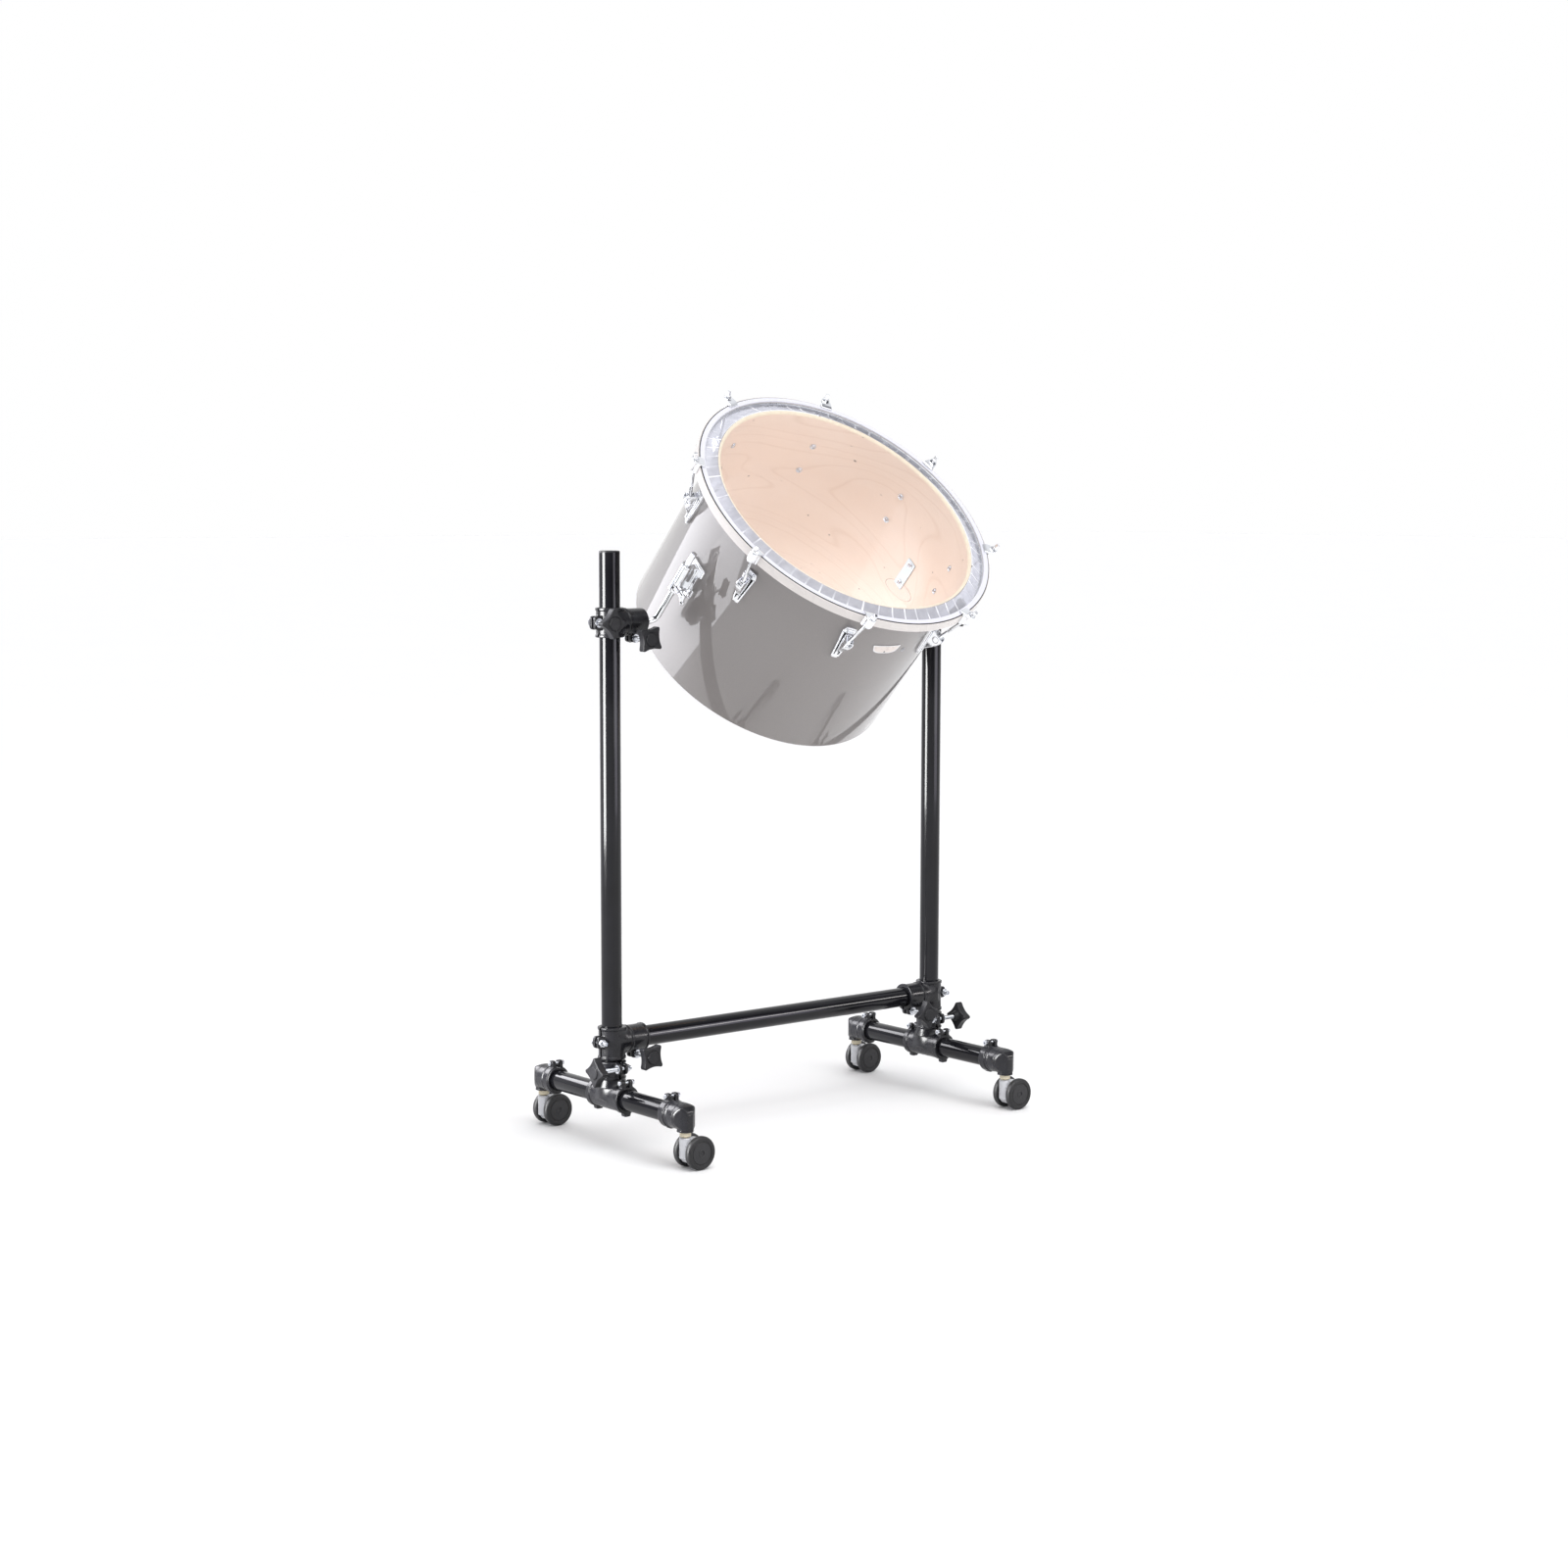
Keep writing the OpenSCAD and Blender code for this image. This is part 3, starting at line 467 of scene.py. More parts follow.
def piece(name, shape, place, body, skins, node="", sharp=32):
    """One visible piece of a body, shown for the CAD node of its own name unless another is given.

    skins is one material, or a list of them with a function that picks one by a face's centre.
    """
    points, faces, normals = shape
    mesh = bpy.data.meshes.new(name)
    mesh.from_pydata((points * MM).tolist(), [], [tuple(int(v) for v in face) for face in faces])
    mesh.validate()
    if normals is None:
        work = bmesh.new()
        work.from_mesh(mesh)
        bmesh.ops.remove_doubles(work, verts=work.verts, dist=1e-6)
        bmesh.ops.dissolve_degenerate(work, edges=work.edges, dist=1e-7)
        bmesh.ops.recalc_face_normals(work, faces=work.faces)
        work.to_mesh(mesh)
        work.free()
    mesh.polygons.foreach_set("use_smooth", [True] * len(mesh.polygons))
    if normals is None:
        mesh.set_sharp_from_angle(angle=math.radians(sharp))
    elif len(mesh.vertices) == len(normals):
        mesh.normals_split_custom_set_from_vertices(normals.tolist())
    if isinstance(skins, tuple):
        materials, pick = skins
        for skin in materials:
            mesh.materials.append(skin)
        for polygon in mesh.polygons:
            polygon.material_index = pick(polygon.center / MM)
    else:
        mesh.materials.append(skins)
    obj = added(name, mesh)
    obj.matrix_world = place
    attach(obj, body)
    if node is not None:
        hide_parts(node or name)


def on_drum(name, shape, skins, node="", sharp=32):
    piece(name, shape, DRUM, "drum", skins, node, sharp)


# ---------- materials ----------


class Skin:
    """A Principled material with its nodes at hand."""

    def __init__(self, name, colour, roughness, metallic=0.0, coat=0.0, specular=0.5):
        self.material = bpy.data.materials.new(name)
        self.material.use_nodes = True
        self.tree = self.material.node_tree
        self.shader = self.tree.nodes["Principled BSDF"]
        self.colour = colour
        self.set("Base Color", (*colour, 1))
        self.set("Roughness", roughness)
        self.set("Metallic", metallic)
        self.set("Coat Weight", coat)
        self.set("Coat Roughness", 0.04)
        self.set("Specular IOR Level", specular)
        self.set("IOR", 1.45)
        self.place = self.node("ShaderNodeTexCoord").outputs["Object"]

    def set(self, socket, value):
        self.shader.inputs[socket].default_value = value

    def node(self, kind, **values):
        made = self.tree.nodes.new(kind)
        for key, value in values.items():
            setattr(made, key, value)
        return made

    def link(self, source, target):
        self.tree.links.new(source, target)

    def noise(self, scale, detail=3.0, rough=0.5, place=None, stretch=None, distortion=0.0):
        made = self.node("ShaderNodeTexNoise")
        made.inputs["Scale"].default_value = scale
        made.inputs["Detail"].default_value = detail
        made.inputs["Roughness"].default_value = rough
        made.inputs["Distortion"].default_value = distortion
        source = place or self.place
        if stretch:
            mapping = self.node("ShaderNodeMapping")
            mapping.inputs["Scale"].default_value = stretch
            self.link(source, mapping.inputs["Vector"])
            source = mapping.outputs["Vector"]
        self.link(source, made.inputs["Vector"])
        return made.outputs["Fac"]

    def span(self, value, low, high, start=0.3, end=0.7):
        """value from start..end mapped to low..high"""
        made = self.node("ShaderNodeMapRange")
        made.inputs["From Min"].default_value = start
        made.inputs["From Max"].default_value = end
        made.inputs["To Min"].default_value = low
        made.inputs["To Max"].default_value = high
        self.link(value, made.inputs["Value"])
        return made.outputs["Result"]

    def tint(self, factor, first, second):
        """first and second, each a colour or a socket, mixed by a socket"""
        made = self.node("ShaderNodeMix", data_type="RGBA")
        self.link(factor, made.inputs["Factor"])
        for name, value in (("A", first), ("B", second)):
            socket = [s for s in made.inputs if s.name == name and s.type == "RGBA"][0]
            if isinstance(value, tuple):
                socket.default_value = (*value, 1)
            else:
                self.link(value, socket)
        return [s for s in made.outputs if s.type == "RGBA"][0]

    def vary_colour(self, scale, dark=0.85, light=1.12, detail=3.0):
        first = tuple(c * dark for c in self.colour)
        second = tuple(min(c * light, 1.0) for c in self.colour)
        self.paint(self.tint(self.span(self.noise(scale, detail), 0, 1), first, second))

    def paint(self, colour):
        self.link(colour, self.shader.inputs["Base Color"])

    def vary_roughness(self, scale, low, high, stretch=None):
        patches = self.noise(scale, 4, stretch=stretch)
        self.link(self.span(patches, low, high), self.shader.inputs["Roughness"])

    def bump(self, height, distance, strength=0.5):
        made = self.node("ShaderNodeBump")
        made.inputs["Strength"].default_value = strength
        made.inputs["Distance"].default_value = distance
        self.link(height, made.inputs["Height"])
        self.link(made.outputs["Normal"], self.shader.inputs["Normal"])

    def calc(self, operation, first, second=None, clamp=False):
        """A Math node whose inputs are sockets or numbers"""
        made = self.node("ShaderNodeMath", operation=operation, use_clamp=clamp)
        for socket, value in zip(made.inputs, (first, second)):
            if isinstance(value, (int, float)):
                socket.default_value = value
            elif value is not None:
                self.link(value, socket)
        return made.outputs[0]

    def around(self):
        """The angle about the drum's axis, and the height along it"""
        split = self.node("ShaderNodeSeparateXYZ")
        self.link(self.place, split.inputs[0])
        return self.calc("ARCTAN2", split.outputs["Y"], split.outputs["X"]), split.outputs["Z"]


def chrome_skin():
    skin = Skin("polished_chrome", (0.86, 0.87, 0.89), 0.07, metallic=1.0)
    skin.vary_colour(60, 0.96, 1.04)
    skin.vary_roughness(90, 0.04, 0.13)
    skin.bump(skin.noise(350, 2), 0.00005, 0.25)
    return skin.material


def lacquer_skin():
    """Warm grey base under a clear coat glossy enough to mirror the softboxes with sharp edges."""
    skin = Skin("grey_lacquer", (0.226, 0.208, 0.200), 0.42, coat=1.0)
    skin.set("Coat Roughness", 0.015)
    skin.set("Coat IOR", 1.6)
    skin.vary_colour(900, 0.95, 1.05, 2)
    skin.bump(skin.noise(60, 2), 0.00002, 0.05)
    return skin.material


def maple_skin():
    """Rotary-cut maple: long flowing contours around the shell and short fine pores."""
    skin = Skin("maple_inside", (0.88, 0.68, 0.54), 0.42, coat=0.25)
    angle, height = skin.around()
    inner_radius_m = 0.246
    unrolled = skin.node("ShaderNodeCombineXYZ")
    skin.link(skin.calc("MULTIPLY", angle, inner_radius_m), unrolled.inputs["X"])
    skin.link(height, unrolled.inputs["Y"])

    def grain(detail, rough, around, along, distortion=0.0):
        stretch = (around, along, 1)
        return skin.noise(1.0, detail, rough, unrolled.outputs[0], stretch, distortion)

    ring_count = 17
    folded = skin.calc("PINGPONG", skin.calc("MULTIPLY", grain(1.2, 0.4, 1.7, 5.0, 0.5), ring_count), 0.5)
    contour = skin.span(folded, 0.34, 0.0, 0.0, 0.09)
    specks = skin.span(grain(0, 0.5, 95, 130), 0.0, 0.75, 0.835, 0.855)
    pores = skin.span(grain(4, 0.6, 45, 900), 0.0, 0.35, 0.5, 0.8)
    cloud = skin.span(grain(3, 0.5, 5, 14), 0.0, 1.0)
    base = skin.tint(cloud, (0.885, 0.715, 0.59), (0.92, 0.76, 0.635))
    lined = skin.tint(contour, base, (0.74, 0.55, 0.42))
    pored = skin.tint(pores, lined, (0.84, 0.655, 0.52))
    skin.paint(skin.tint(specks, pored, (0.12, 0.08, 0.06)))
    skin.bump(grain(3, 0.6, 60, 1200), 0.00004, 0.3)
    return skin.material


def edge_skin():
    """Sanded bearing edge: pale plies."""
    skin = Skin("sanded_edge", (0.86, 0.74, 0.56), 0.5)
    skin.vary_colour(180, 0.93, 1.05)
    skin.bump(skin.noise(900, 3), 0.00004, 0.3)
    return skin.material


def film_skin(name, haze, tone, flutes=0):
    """Clear polyester film: mostly see-through, with a hard gloss and a little haze."""
    skin = Skin(name, tone, 0.06)
    skin.vary_roughness(40, 0.04, 0.12)
    clear = skin.node("ShaderNodeBsdfTransparent")
    clear.inputs["Color"].default_value = (0.985, 0.99, 1.0, 1)
    mist = skin.span(skin.noise(6, 4, 0.6), haze * 0.8, haze * 1.2)
    if flutes:
        clear.inputs["Color"].default_value = (0.80, 0.81, 0.87, 1)
        mist = flute_mist(skin, mist, flutes)
    mix = skin.node("ShaderNodeMixShader")
    skin.link(mist, mix.inputs[0])
    skin.link(clear.outputs[0], mix.inputs[1])
    skin.link(skin.shader.outputs[0], mix.inputs[2])
    skin.link(mix.outputs[0], skin.tree.nodes["Material Output"].inputs["Surface"])
    return skin.material


def flute_mist(skin, mist, flutes):
    """More haze, and whiter, along the crease at each flute of the collar."""
    angle, _ = skin.around()
    drift = skin.span(skin.noise(9, 2), -0.9, 0.9)
    wave = skin.calc("COSINE", skin.calc("ADD", skin.calc("MULTIPLY", angle, flutes), drift))
    line = skin.span(wave, 0.0, 0.70, 0.90, 0.985)
    crease = skin.calc("MULTIPLY", line, skin.span(skin.noise(21, 1), 0.1, 1.0, 0.42, 0.58))
    cloudy = skin.span(skin.noise(55, 3, 0.6), 0.72, 1.0, 0.35, 0.65)
    tone = skin.tint(cloudy, (0.43, 0.42, 0.44), (0.90, 0.90, 0.93))
    skin.paint(skin.tint(crease, tone, (0.97, 0.97, 1.0)))
    return skin.calc("ADD", mist, crease, clamp=True)


def black_tube_skin():
    skin = Skin("black_gloss_tube", (0.004, 0.004, 0.005), 0.10, coat=0.1, specular=0.28)
    skin.vary_colour(14, 0.7, 1.4)
    skin.vary_roughness(30, 0.08, 0.14, stretch=(1, 1, 0.2))
    skin.bump(skin.noise(260, 2), 0.00002, 0.05)
    return skin.material


def black_cast_skin():
    skin = Skin("black_cast_metal", (0.007, 0.007, 0.009), 0.28, coat=0.15, specular=0.35)
    skin.vary_colour(35, 0.7, 1.35)
    skin.vary_roughness(60, 0.20, 0.38)
    skin.bump(skin.noise(330, 4, 0.6), 0.00012, 0.45)
    return skin.material


def knob_skin():
    skin = Skin("black_moulded_plastic", (0.010, 0.010, 0.012), 0.40, specular=0.35)
    skin.vary_colour(80, 0.8, 1.25)
    skin.vary_roughness(120, 0.34, 0.5)
    skin.bump(skin.noise(1400, 3), 0.00006, 0.4)
    return skin.material


def plain_skin(name, colour, roughness, metallic, spread, scale, grain):
    skin = Skin(name, colour, roughness, metallic=metallic)
    skin.vary_colour(scale, 1 - spread, 1 + spread)
    skin.vary_roughness(scale * 1.7, roughness * 0.75, roughness * 1.3)
    skin.bump(skin.noise(grain, 3), 0.00005, 0.3)
    return skin.material


chrome = chrome_skin()
lacquer = lacquer_skin()
maple = maple_skin()
raw_edge = edge_skin()
film = film_skin("clear_film", 0.03, (0.93, 0.95, 0.98))
collar_film = film_skin("fluted_collar_film", 0.38, (0.80, 0.82, 0.89), flute_count)
tube_black = black_tube_skin()
cast_black = black_cast_skin()
knob_black = knob_skin()
hoop_white = plain_skin("hoop_enamel", (0.74, 0.70, 0.675), 0.26, 0.0, 0.012, 30, 900)
hoop_face = plain_skin("hoop_face_enamel", (0.70, 0.70, 0.76), 0.2, 0.0, 0.012, 30, 900)
# Near-black: the badge rivet and the line in the counterhoop's groove, and painted shade in the lug channels
# and the vent hole
dark_and_shade = plain_skin("dark_marks_and_painted_shade", (0.05, 0.05, 0.05), 0.5, 0.0, 0.1, 60, 500)
aluminium = plain_skin("drawn_aluminium", (0.70, 0.71, 0.73), 0.3, 1.0, 0.05, 50, 300)
inner_zinc = plain_skin("blued_zinc_plate", (0.66, 0.74, 0.78), 0.3, 0.15, 0.03, 40, 600)
steel = plain_skin("zinc_screw_steel", (0.66, 0.68, 0.72), 0.24, 1.0, 0.08, 90, 500)
dark_steel = plain_skin("dark_bolt_steel", (0.42, 0.42, 0.45), 0.3, 1.0, 0.12, 120, 500)
badge_cream = plain_skin("badge_cream", (0.78, 0.70, 0.655), 0.3, 0.0, 0.03, 60, 700)
badge_rim = plain_skin("badge_rim", (0.93, 0.92, 0.92), 0.22, 0.0, 0.02, 60, 700)
paper = plain_skin("label_paper", (0.93, 0.80, 0.70), 0.6, 0.0, 0.02, 200, 1200)
ink = plain_skin("label_ring_ink", (0.42, 0.33, 0.28), 0.6, 0.0, 0.1, 200, 1200)
brass = plain_skin("stem_brass", (0.80, 0.68, 0.42), 0.28, 1.0, 0.08, 70, 500)
cream_bush = plain_skin("cream_bush", (0.78, 0.70, 0.52), 0.4, 0.0, 0.05, 60, 700)
hood_silver = plain_skin("hood_silver", (0.66, 0.67, 0.70), 0.3, 0.35, 0.05, 40, 500)
rubber = plain_skin("wheel_tread", (0.010, 0.010, 0.011), 0.45, 0.0, 0.2, 60, 900)
disc_face = plain_skin("wheel_face", (0.018, 0.018, 0.020), 0.5, 0.0, 0.12, 50, 900)

# ---------- drum ----------


def every_lug(shape, local=Matrix.Identity(4)):
    """Copies of a shape at each lug's angle around the drum; the shape's +X points out of the shell."""
    step = 360 / lug_count
    return merged([moved(shape, turn(lug_first_angle + i * step, "Z") @ local) for i in range(lug_count)])


def rod_frame():
    return shift(rod_circle_r, 0, 0) @ Matrix.Rotation(rod_lean, 4, "Y")


def shell_piece():
    outline = rounded([
        (shell_in_r, -shell_len, 1.5), (shell_r, -shell_len, 1.5), (shell_r, -2.4, 1.6),
        (shell_r - 2.2, 0, 0.8), (shell_in_r + 1.2, -3.0, 1.0), (shell_in_r, -5.6, 0.8)], 1, 3)

    def pick(centre):
        radial = math.hypot(centre[0], centre[1])
        if radial > shell_r - 0.9 or centre[2] < -shell_len + 0.9 and radial > shell_r - 2:
            return 0
        return 1 if radial < shell_in_r + 0.35 else 2

    on_drum("shell", lathe(outline, 288), ([lacquer, maple, raw_edge], pick))


def head_piece():
    """The film: flat top, a rolled edge over the shell, then a fluted collar down to the flesh hoop."""
    film_t, steps = 0.45, 12
    from_r, from_z, to_r, to_z = shell_r + 1.6, -0.35, hoop_in_r - 1.4, -11
    top = [
        (0.0, 0.5), (120.0, 0.5), (shell_r - 6, 0.5), (shell_r - 2, 0.45), (shell_r, 0.15),
        (from_r, from_z)]
    for s in range(1, steps + 1):
        t = s / steps
        sag = 0.8 * math.sin(math.pi * t)
        top.append((from_r + (to_r - from_r) * t, from_z + (to_z - from_z) * t - sag))
    outline = top + [(radius, height - film_t) for radius, height in reversed(top)]
    swell = [min(max((radius - shell_r - 1) / 8, 0.0), 1.0) for radius, _ in outline]

    def flutes(angles, row):
        ridge = np.exp((np.cos(angles * flute_count) - 1) / 0.25)
        return swell[row] * (1.3 * ridge - 0.5)

    def pick(centre):
        return 1 if math.hypot(centre[0], centre[1]) > shell_r + 0.4 else 0

    on_drum("head_film", lathe(outline, 720, flutes), ([film, collar_film], pick), sharp=60)


def hoop_pieces():
    flange_t, skirt_t = 4, 3
    outline = rounded([
        (hoop_in_r, hoop_top - flange_t, 0.6), (hoop_in_r, hoop_top, 1.6), (hoop_out_r - 3.4, hoop_top, 0.8),
        (hoop_out_r - 3.4, hoop_top - 2.4, 0.2), (hoop_out_r - 2.0, hoop_top - 2.4, 0.2),
        (hoop_out_r - 1.6, hoop_top - 1.2, 0.5), (hoop_out_r, hoop_top - 1.6, 0.9),
        (hoop_out_r, hoop_top - hoop_h, 0.9), (hoop_out_r - skirt_t, hoop_top - hoop_h, 0.9),
        (hoop_out_r - skirt_t, hoop_top - flange_t, 0.8)], 1, 4)

    def pick(centre):
        radial = math.hypot(centre[0], centre[1])
        if hoop_out_r - 3.7 < radial < hoop_out_r - 1.7 and centre[2] < hoop_top - 0.6:
            return 2 if centre[2] > hoop_top - 2.6 else 0
        return 1 if centre[2] > hoop_top - 1.5 and radial < hoop_out_r - 3 else 0

    on_drum("counterhoop", lathe(outline, 360), ([hoop_white, hoop_face, dark_and_shade], pick))
    top = hoop_top - flange_t - 0.3
    low = hoop_top - flange_t - 11
    inner, outer = hoop_in_r - 0.9, hoop_out_r - skirt_t - 1
    ring = rounded([(inner, low, 0.5), (inner, top, 1.8), (outer, top, 1.8), (outer, low, 0.5)], 1, 4)
    on_drum("flesh_hoop", lathe(ring, 288), aluminium)


def claw_shape(p):
    """A die-cast claw: lip over the hoop, a boss around the rod and a tongue down the skirt."""
    lip_r = hoop_in_r + 3
    out_r = rod_circle_r + 7
    half_w = 11.6
    body = prism(p, [
        (lip_r, hoop_top + 0.1), (hoop_out_r + 0.3, hoop_top - hoop_h - 1.5),
        (out_r - 4, hoop_top - hoop_h + 4), (out_r - 0.6, hoop_top - 8), (out_r - 0.6, claw_top - 3),
        (out_r - 3.5, claw_top - 0.2), (lip_r + 3, claw_top - 1.6), (lip_r, claw_top - 3.4)], 1, half_w, 1.0)
    wings = prism(p, [
        (lip_r - 1, -half_w), (hoop_out_r + 2, -half_w), (out_r - 0.4, -6), (out_r - 0.4, 6),
        (hoop_out_r + 2, half_w), (lip_r - 1, half_w)], 2, 40, 1.6)
    boss = rod(p, (rod_circle_r, 0, -16), (rod_circle_r, 0, claw_top - 0.1), 6.9, 0.9)
    solid = join(1.5, meet(1.6, body, wings), boss)
    radial = radial_of(p)
    hoop_room = meet(0.4, radial - hoop_out_r - 0.15, p[:, 2] - hoop_top - 0.06)
    scoop_r = hoop_out_r + 7.5
    scoop = join(1.0, *[
        rod(p, (scoop_r, side, -30), (scoop_r, side, 0.5), 4.6, 0.5) for side in (-12.5, 12.5)])
    dimple = rod(p, (rod_circle_r, 0, claw_top - 0.8), (rod_circle_r, 0, claw_top + 9), 5.2, 0.2)
    low, high = -40, 20
    hole = rod(p, (rod_circle_r + low * rod_slope, 0, low), (rod_circle_r + high * rod_slope, 0, high),
               3.35, hole_edge)
    return cut(0.7, solid, hoop_room, scoop, dimple, hole)


def key_head_shape(p):
    """Square drum-key head on a round flange, from the flange's foot at z = 0."""
    flange = rod(p, (0, 0, 0), (0, 0, 2.2), 5.6, 0.45)
    square = plate(p, (-3.2, -3.2, 1), (3.2, 3.2, 10), 2, 0.7, 0.5)
    return join(0.8, flange, square)


def rod_outline(low, high, radius, thread_top, pitch=1.25, crest=0.28):
    """Outline of a screw: a thread of rings up to thread_top, plain above it."""
    outline = [(0.0, low), (radius - 0.9, low), (radius - crest, low + 0.9)]
    z = low + 0.9
    while z < thread_top:
        outline += [(radius, z + pitch * 0.3), (radius - crest * 1.6, z + pitch * 0.8)]
        z += pitch
    outline += [(radius, z + pitch), (radius, high - 0.4), (radius - 0.4, high), (0.0, high)]
    return outline


def tension_pieces():
    head_z = claw_top + 2.2
    low = -nut_drop / math.cos(rod_lean) - 14
    bars = lathe(rod_outline(low, head_z + 0.6, tension_r, -58), 32)
    heads = carve(key_head_shape, (-6.5, -6.5, -1), (6.5, 6.5, 11), 0.42, 0.4)
    washer = lathe(rounded([(3.15, 0.05), (6.35, 0.05), (6.35, 1.15), (3.15, 1.15)], 0.3, 3), 48)
    nut = lathe(rounded([(0, -6.95, 0), (5.9, -6.95, 0.8), (5.9, 6.95, 0.8), (0, 6.95, 0)], 0.8, 3), 40)
    on_drum("tension_rods", every_lug(bars, rod_frame()), chrome)
    lifted = rod_frame() @ shift(0, 0, head_z)
    on_drum("tension_rod_heads", every_lug(heads, lifted), chrome, "tension_rods")
    lifted = rod_frame() @ shift(0, 0, claw_top + 1)
    on_drum("rod_washers", every_lug(washer, lifted), steel)
    lay = shift(nut_radius, 0, -nut_drop) @ turn(90, "X")
    on_drum("swivel_nuts", every_lug(nut, lay), chrome)


def both_sides(right):
    """Outline from its right-hand corners, listed upwards, and their mirror images."""
    (x0, z0), upper = right[0], right[1:]
    return [(-x0, z0), (x0, z0), *upper, *[(-x, z) for x, z in reversed(upper)]]


def lug_shape(p):
    """Tapered die-cast lug: a framed base plate, a prow that flares out to the nut, and two side ribs."""
    bottom = lug_top - lug_len
    nut_out = shell_r + 31
    base = prism(p, both_sides([
        (5, bottom + 0.2), (7.2, bottom + 3.5), (13.3, lug_top - 9), (9.6, lug_top + 0.6)]),
        0, 8, 0.9, shell_r - 2.4)
    profile = prism(p, [
        (shell_r - 4, bottom + 4), (shell_r + 8, bottom + 4.2), (nut_out - 5, -nut_drop - 10.6),
        (nut_out - 0.3, -nut_drop - 4.6), (nut_out - 0.3, -nut_drop + 6), (nut_out - 8, -nut_drop + 9.5),
        (shell_r + 10, lug_top - 7), (shell_r - 4, lug_top - 5)], 1, 14, 1.0)
    front = prism(p, both_sides([
        (2.6, bottom + 2), (7.6, -nut_drop - 3), (7.4, -nut_drop + 12), (5, lug_top - 2)]),
        0, 60, 0.9, shell_r)
    prow = meet(1.6, profile, front)
    ribs = [
        rod(p, (shell_r + 5.8, s * 5.6, bottom + 5), (shell_r + 6.8, s * 11.6, lug_top - 9.5), 1.5, 0.7)
        for s in (-1, 1)]
    frame_top = rod(p, (shell_r + 6.6, -9.6, lug_top - 3.6), (shell_r + 6.6, 9.6, lug_top - 3.6), 1.7, 0.8)
    solid = join(0.7, base, prow, frame_top, *ribs)
    groove = [
        rod(p, (shell_r + 4.6, s * 3.7, bottom + 8), (shell_r + 5.6, s * 9.2, lug_top - 12), 1.1, 0.4)
        for s in (-1, 1)]
    window = plate(p, (shell_r + 9.5, -2.0, bottom + 8.5), (shell_r + 24, 2.0, bottom + 17), 0, 1.2, 0.3)
    seat = rod(p, (nut_radius, -7.2, -nut_drop), (nut_radius, 7.2, -nut_drop), 6.15, hole_edge)
    room = 4.6
    mouth = plate(p, (nut_radius + 1, -room, -nut_drop - 1.5), (nut_out + 6, room, -nut_drop + 26),
                  0, 1.5, 0.3)
    slot = plate(p, (nut_radius - 4.5, -room, -nut_drop - 1), (nut_radius + 14, room, -nut_drop + 30),
                 1, 1.5, 0.3)
    hole = rod(p, (rod_circle_r - 104 * rod_slope, 0, -104), (rod_circle_r, 0, 0), 4.1, hole_edge)
    radial = radial_of(p)
    return cut(0.6, solid, radial - shell_r - 0.02, *groove, window, seat, mouth, slot, hole)


def lug_pieces():
    low, high = (shell_r - 3, -15, lug_top - lug_len - 2), (shell_r + 33, 15, lug_top + 3)
    lug = carve(lug_shape, low, high, 0.7, 0.3)
    step = 2 * math.pi / lug_count
    first = math.radians(lug_first_angle)

    def pick(centre):
        """The channels beside the prow get the near-black skin as painted shade."""
        radial = math.hypot(centre[0], centre[1])
        turned = math.atan2(centre[1], centre[0]) - first
        side = abs(turned - round(turned / step) * step) * radial
        up = (centre[2] - lug_top + lug_len - 8) / (lug_len - 20)
        return 1 if radial < shell_r + 5.8 and abs(side - 3.7 - 5.5 * up) < 1.5 and 0 < up < 1 else 0

    on_drum("lugs", every_lug(lug), ([chrome, dark_and_shade], pick))
    low, high = (hoop_in_r, -13, -22), (rod_circle_r + 9, 13, claw_top + 2)
    claw = carve(claw_shape, low, high, 0.6, 0.3)
    on_drum("claws", every_lug(claw), chrome)


def pan_screw_shape(p):
    """Pan head on a washer, with a cross recess; -X points to the middle of the drum."""
    washer = rod(p, (-1.2, 0, 0), (-0.1, 0, 0), 5.95, 0.25)
    dome = meet(0.6, ball(p, (2.6, 0, 0), 6.6), rod(p, (-3.9, 0, 0), (-0.6, 0, 0), 4.2, 0.5))
    cross = join(0.1, plate(p, (-6, -2.2, -0.55), (-2.5, 2.2, 0.55), 0, 0.2, 0.1),
                 plate(p, (-6, -0.55, -2.2), (-2.5, 0.55, 2.2), 0, 0.2, 0.1))
    return cut(0.2, join(0.3, washer, dome), cross)


def inner_pieces():
    screw = carve(pan_screw_shape, (-5, -7, -7), (1, 7, 7), 0.42, 0.45)
    heads = [every_lug(screw, shift(shell_in_r - 0.09, 0, -drop)) for drop in screw_drops]
    on_drum("lug_screws", merged(heads), steel)
    low, high = (shell_in_r - 6, -14, -bracket_mid - 34), (shell_in_r + 1, 14, -bracket_mid + 34)
    backing = carve(backing_shape, low, high, 0.9, 0.3)
    plates, screws = [], []
    for angle in (0, 180):
        plates.append(moved(backing, turn(angle, "Z")))
        for drop in (-22, 22):
            spot = shift(shell_in_r - 2.1, 0, drop - bracket_mid)
            screws.append(moved(screw, turn(angle, "Z") @ spot))
    on_drum("bracket_plates", merged(plates), inner_zinc)
    on_drum("bracket_screws", merged(screws), steel)
    label_piece()


def backing_shape(p):
    sheet = np.abs(radial_of(p) - shell_in_r + 1.05) - 0.95
    low, high = (shell_in_r - 20, -12, bracket_low), (shell_in_r + 20, 12, -bracket_mid + 31)
    return meet(0.6, sheet, plate(p, low, high, 0, 2.5, 0.2))


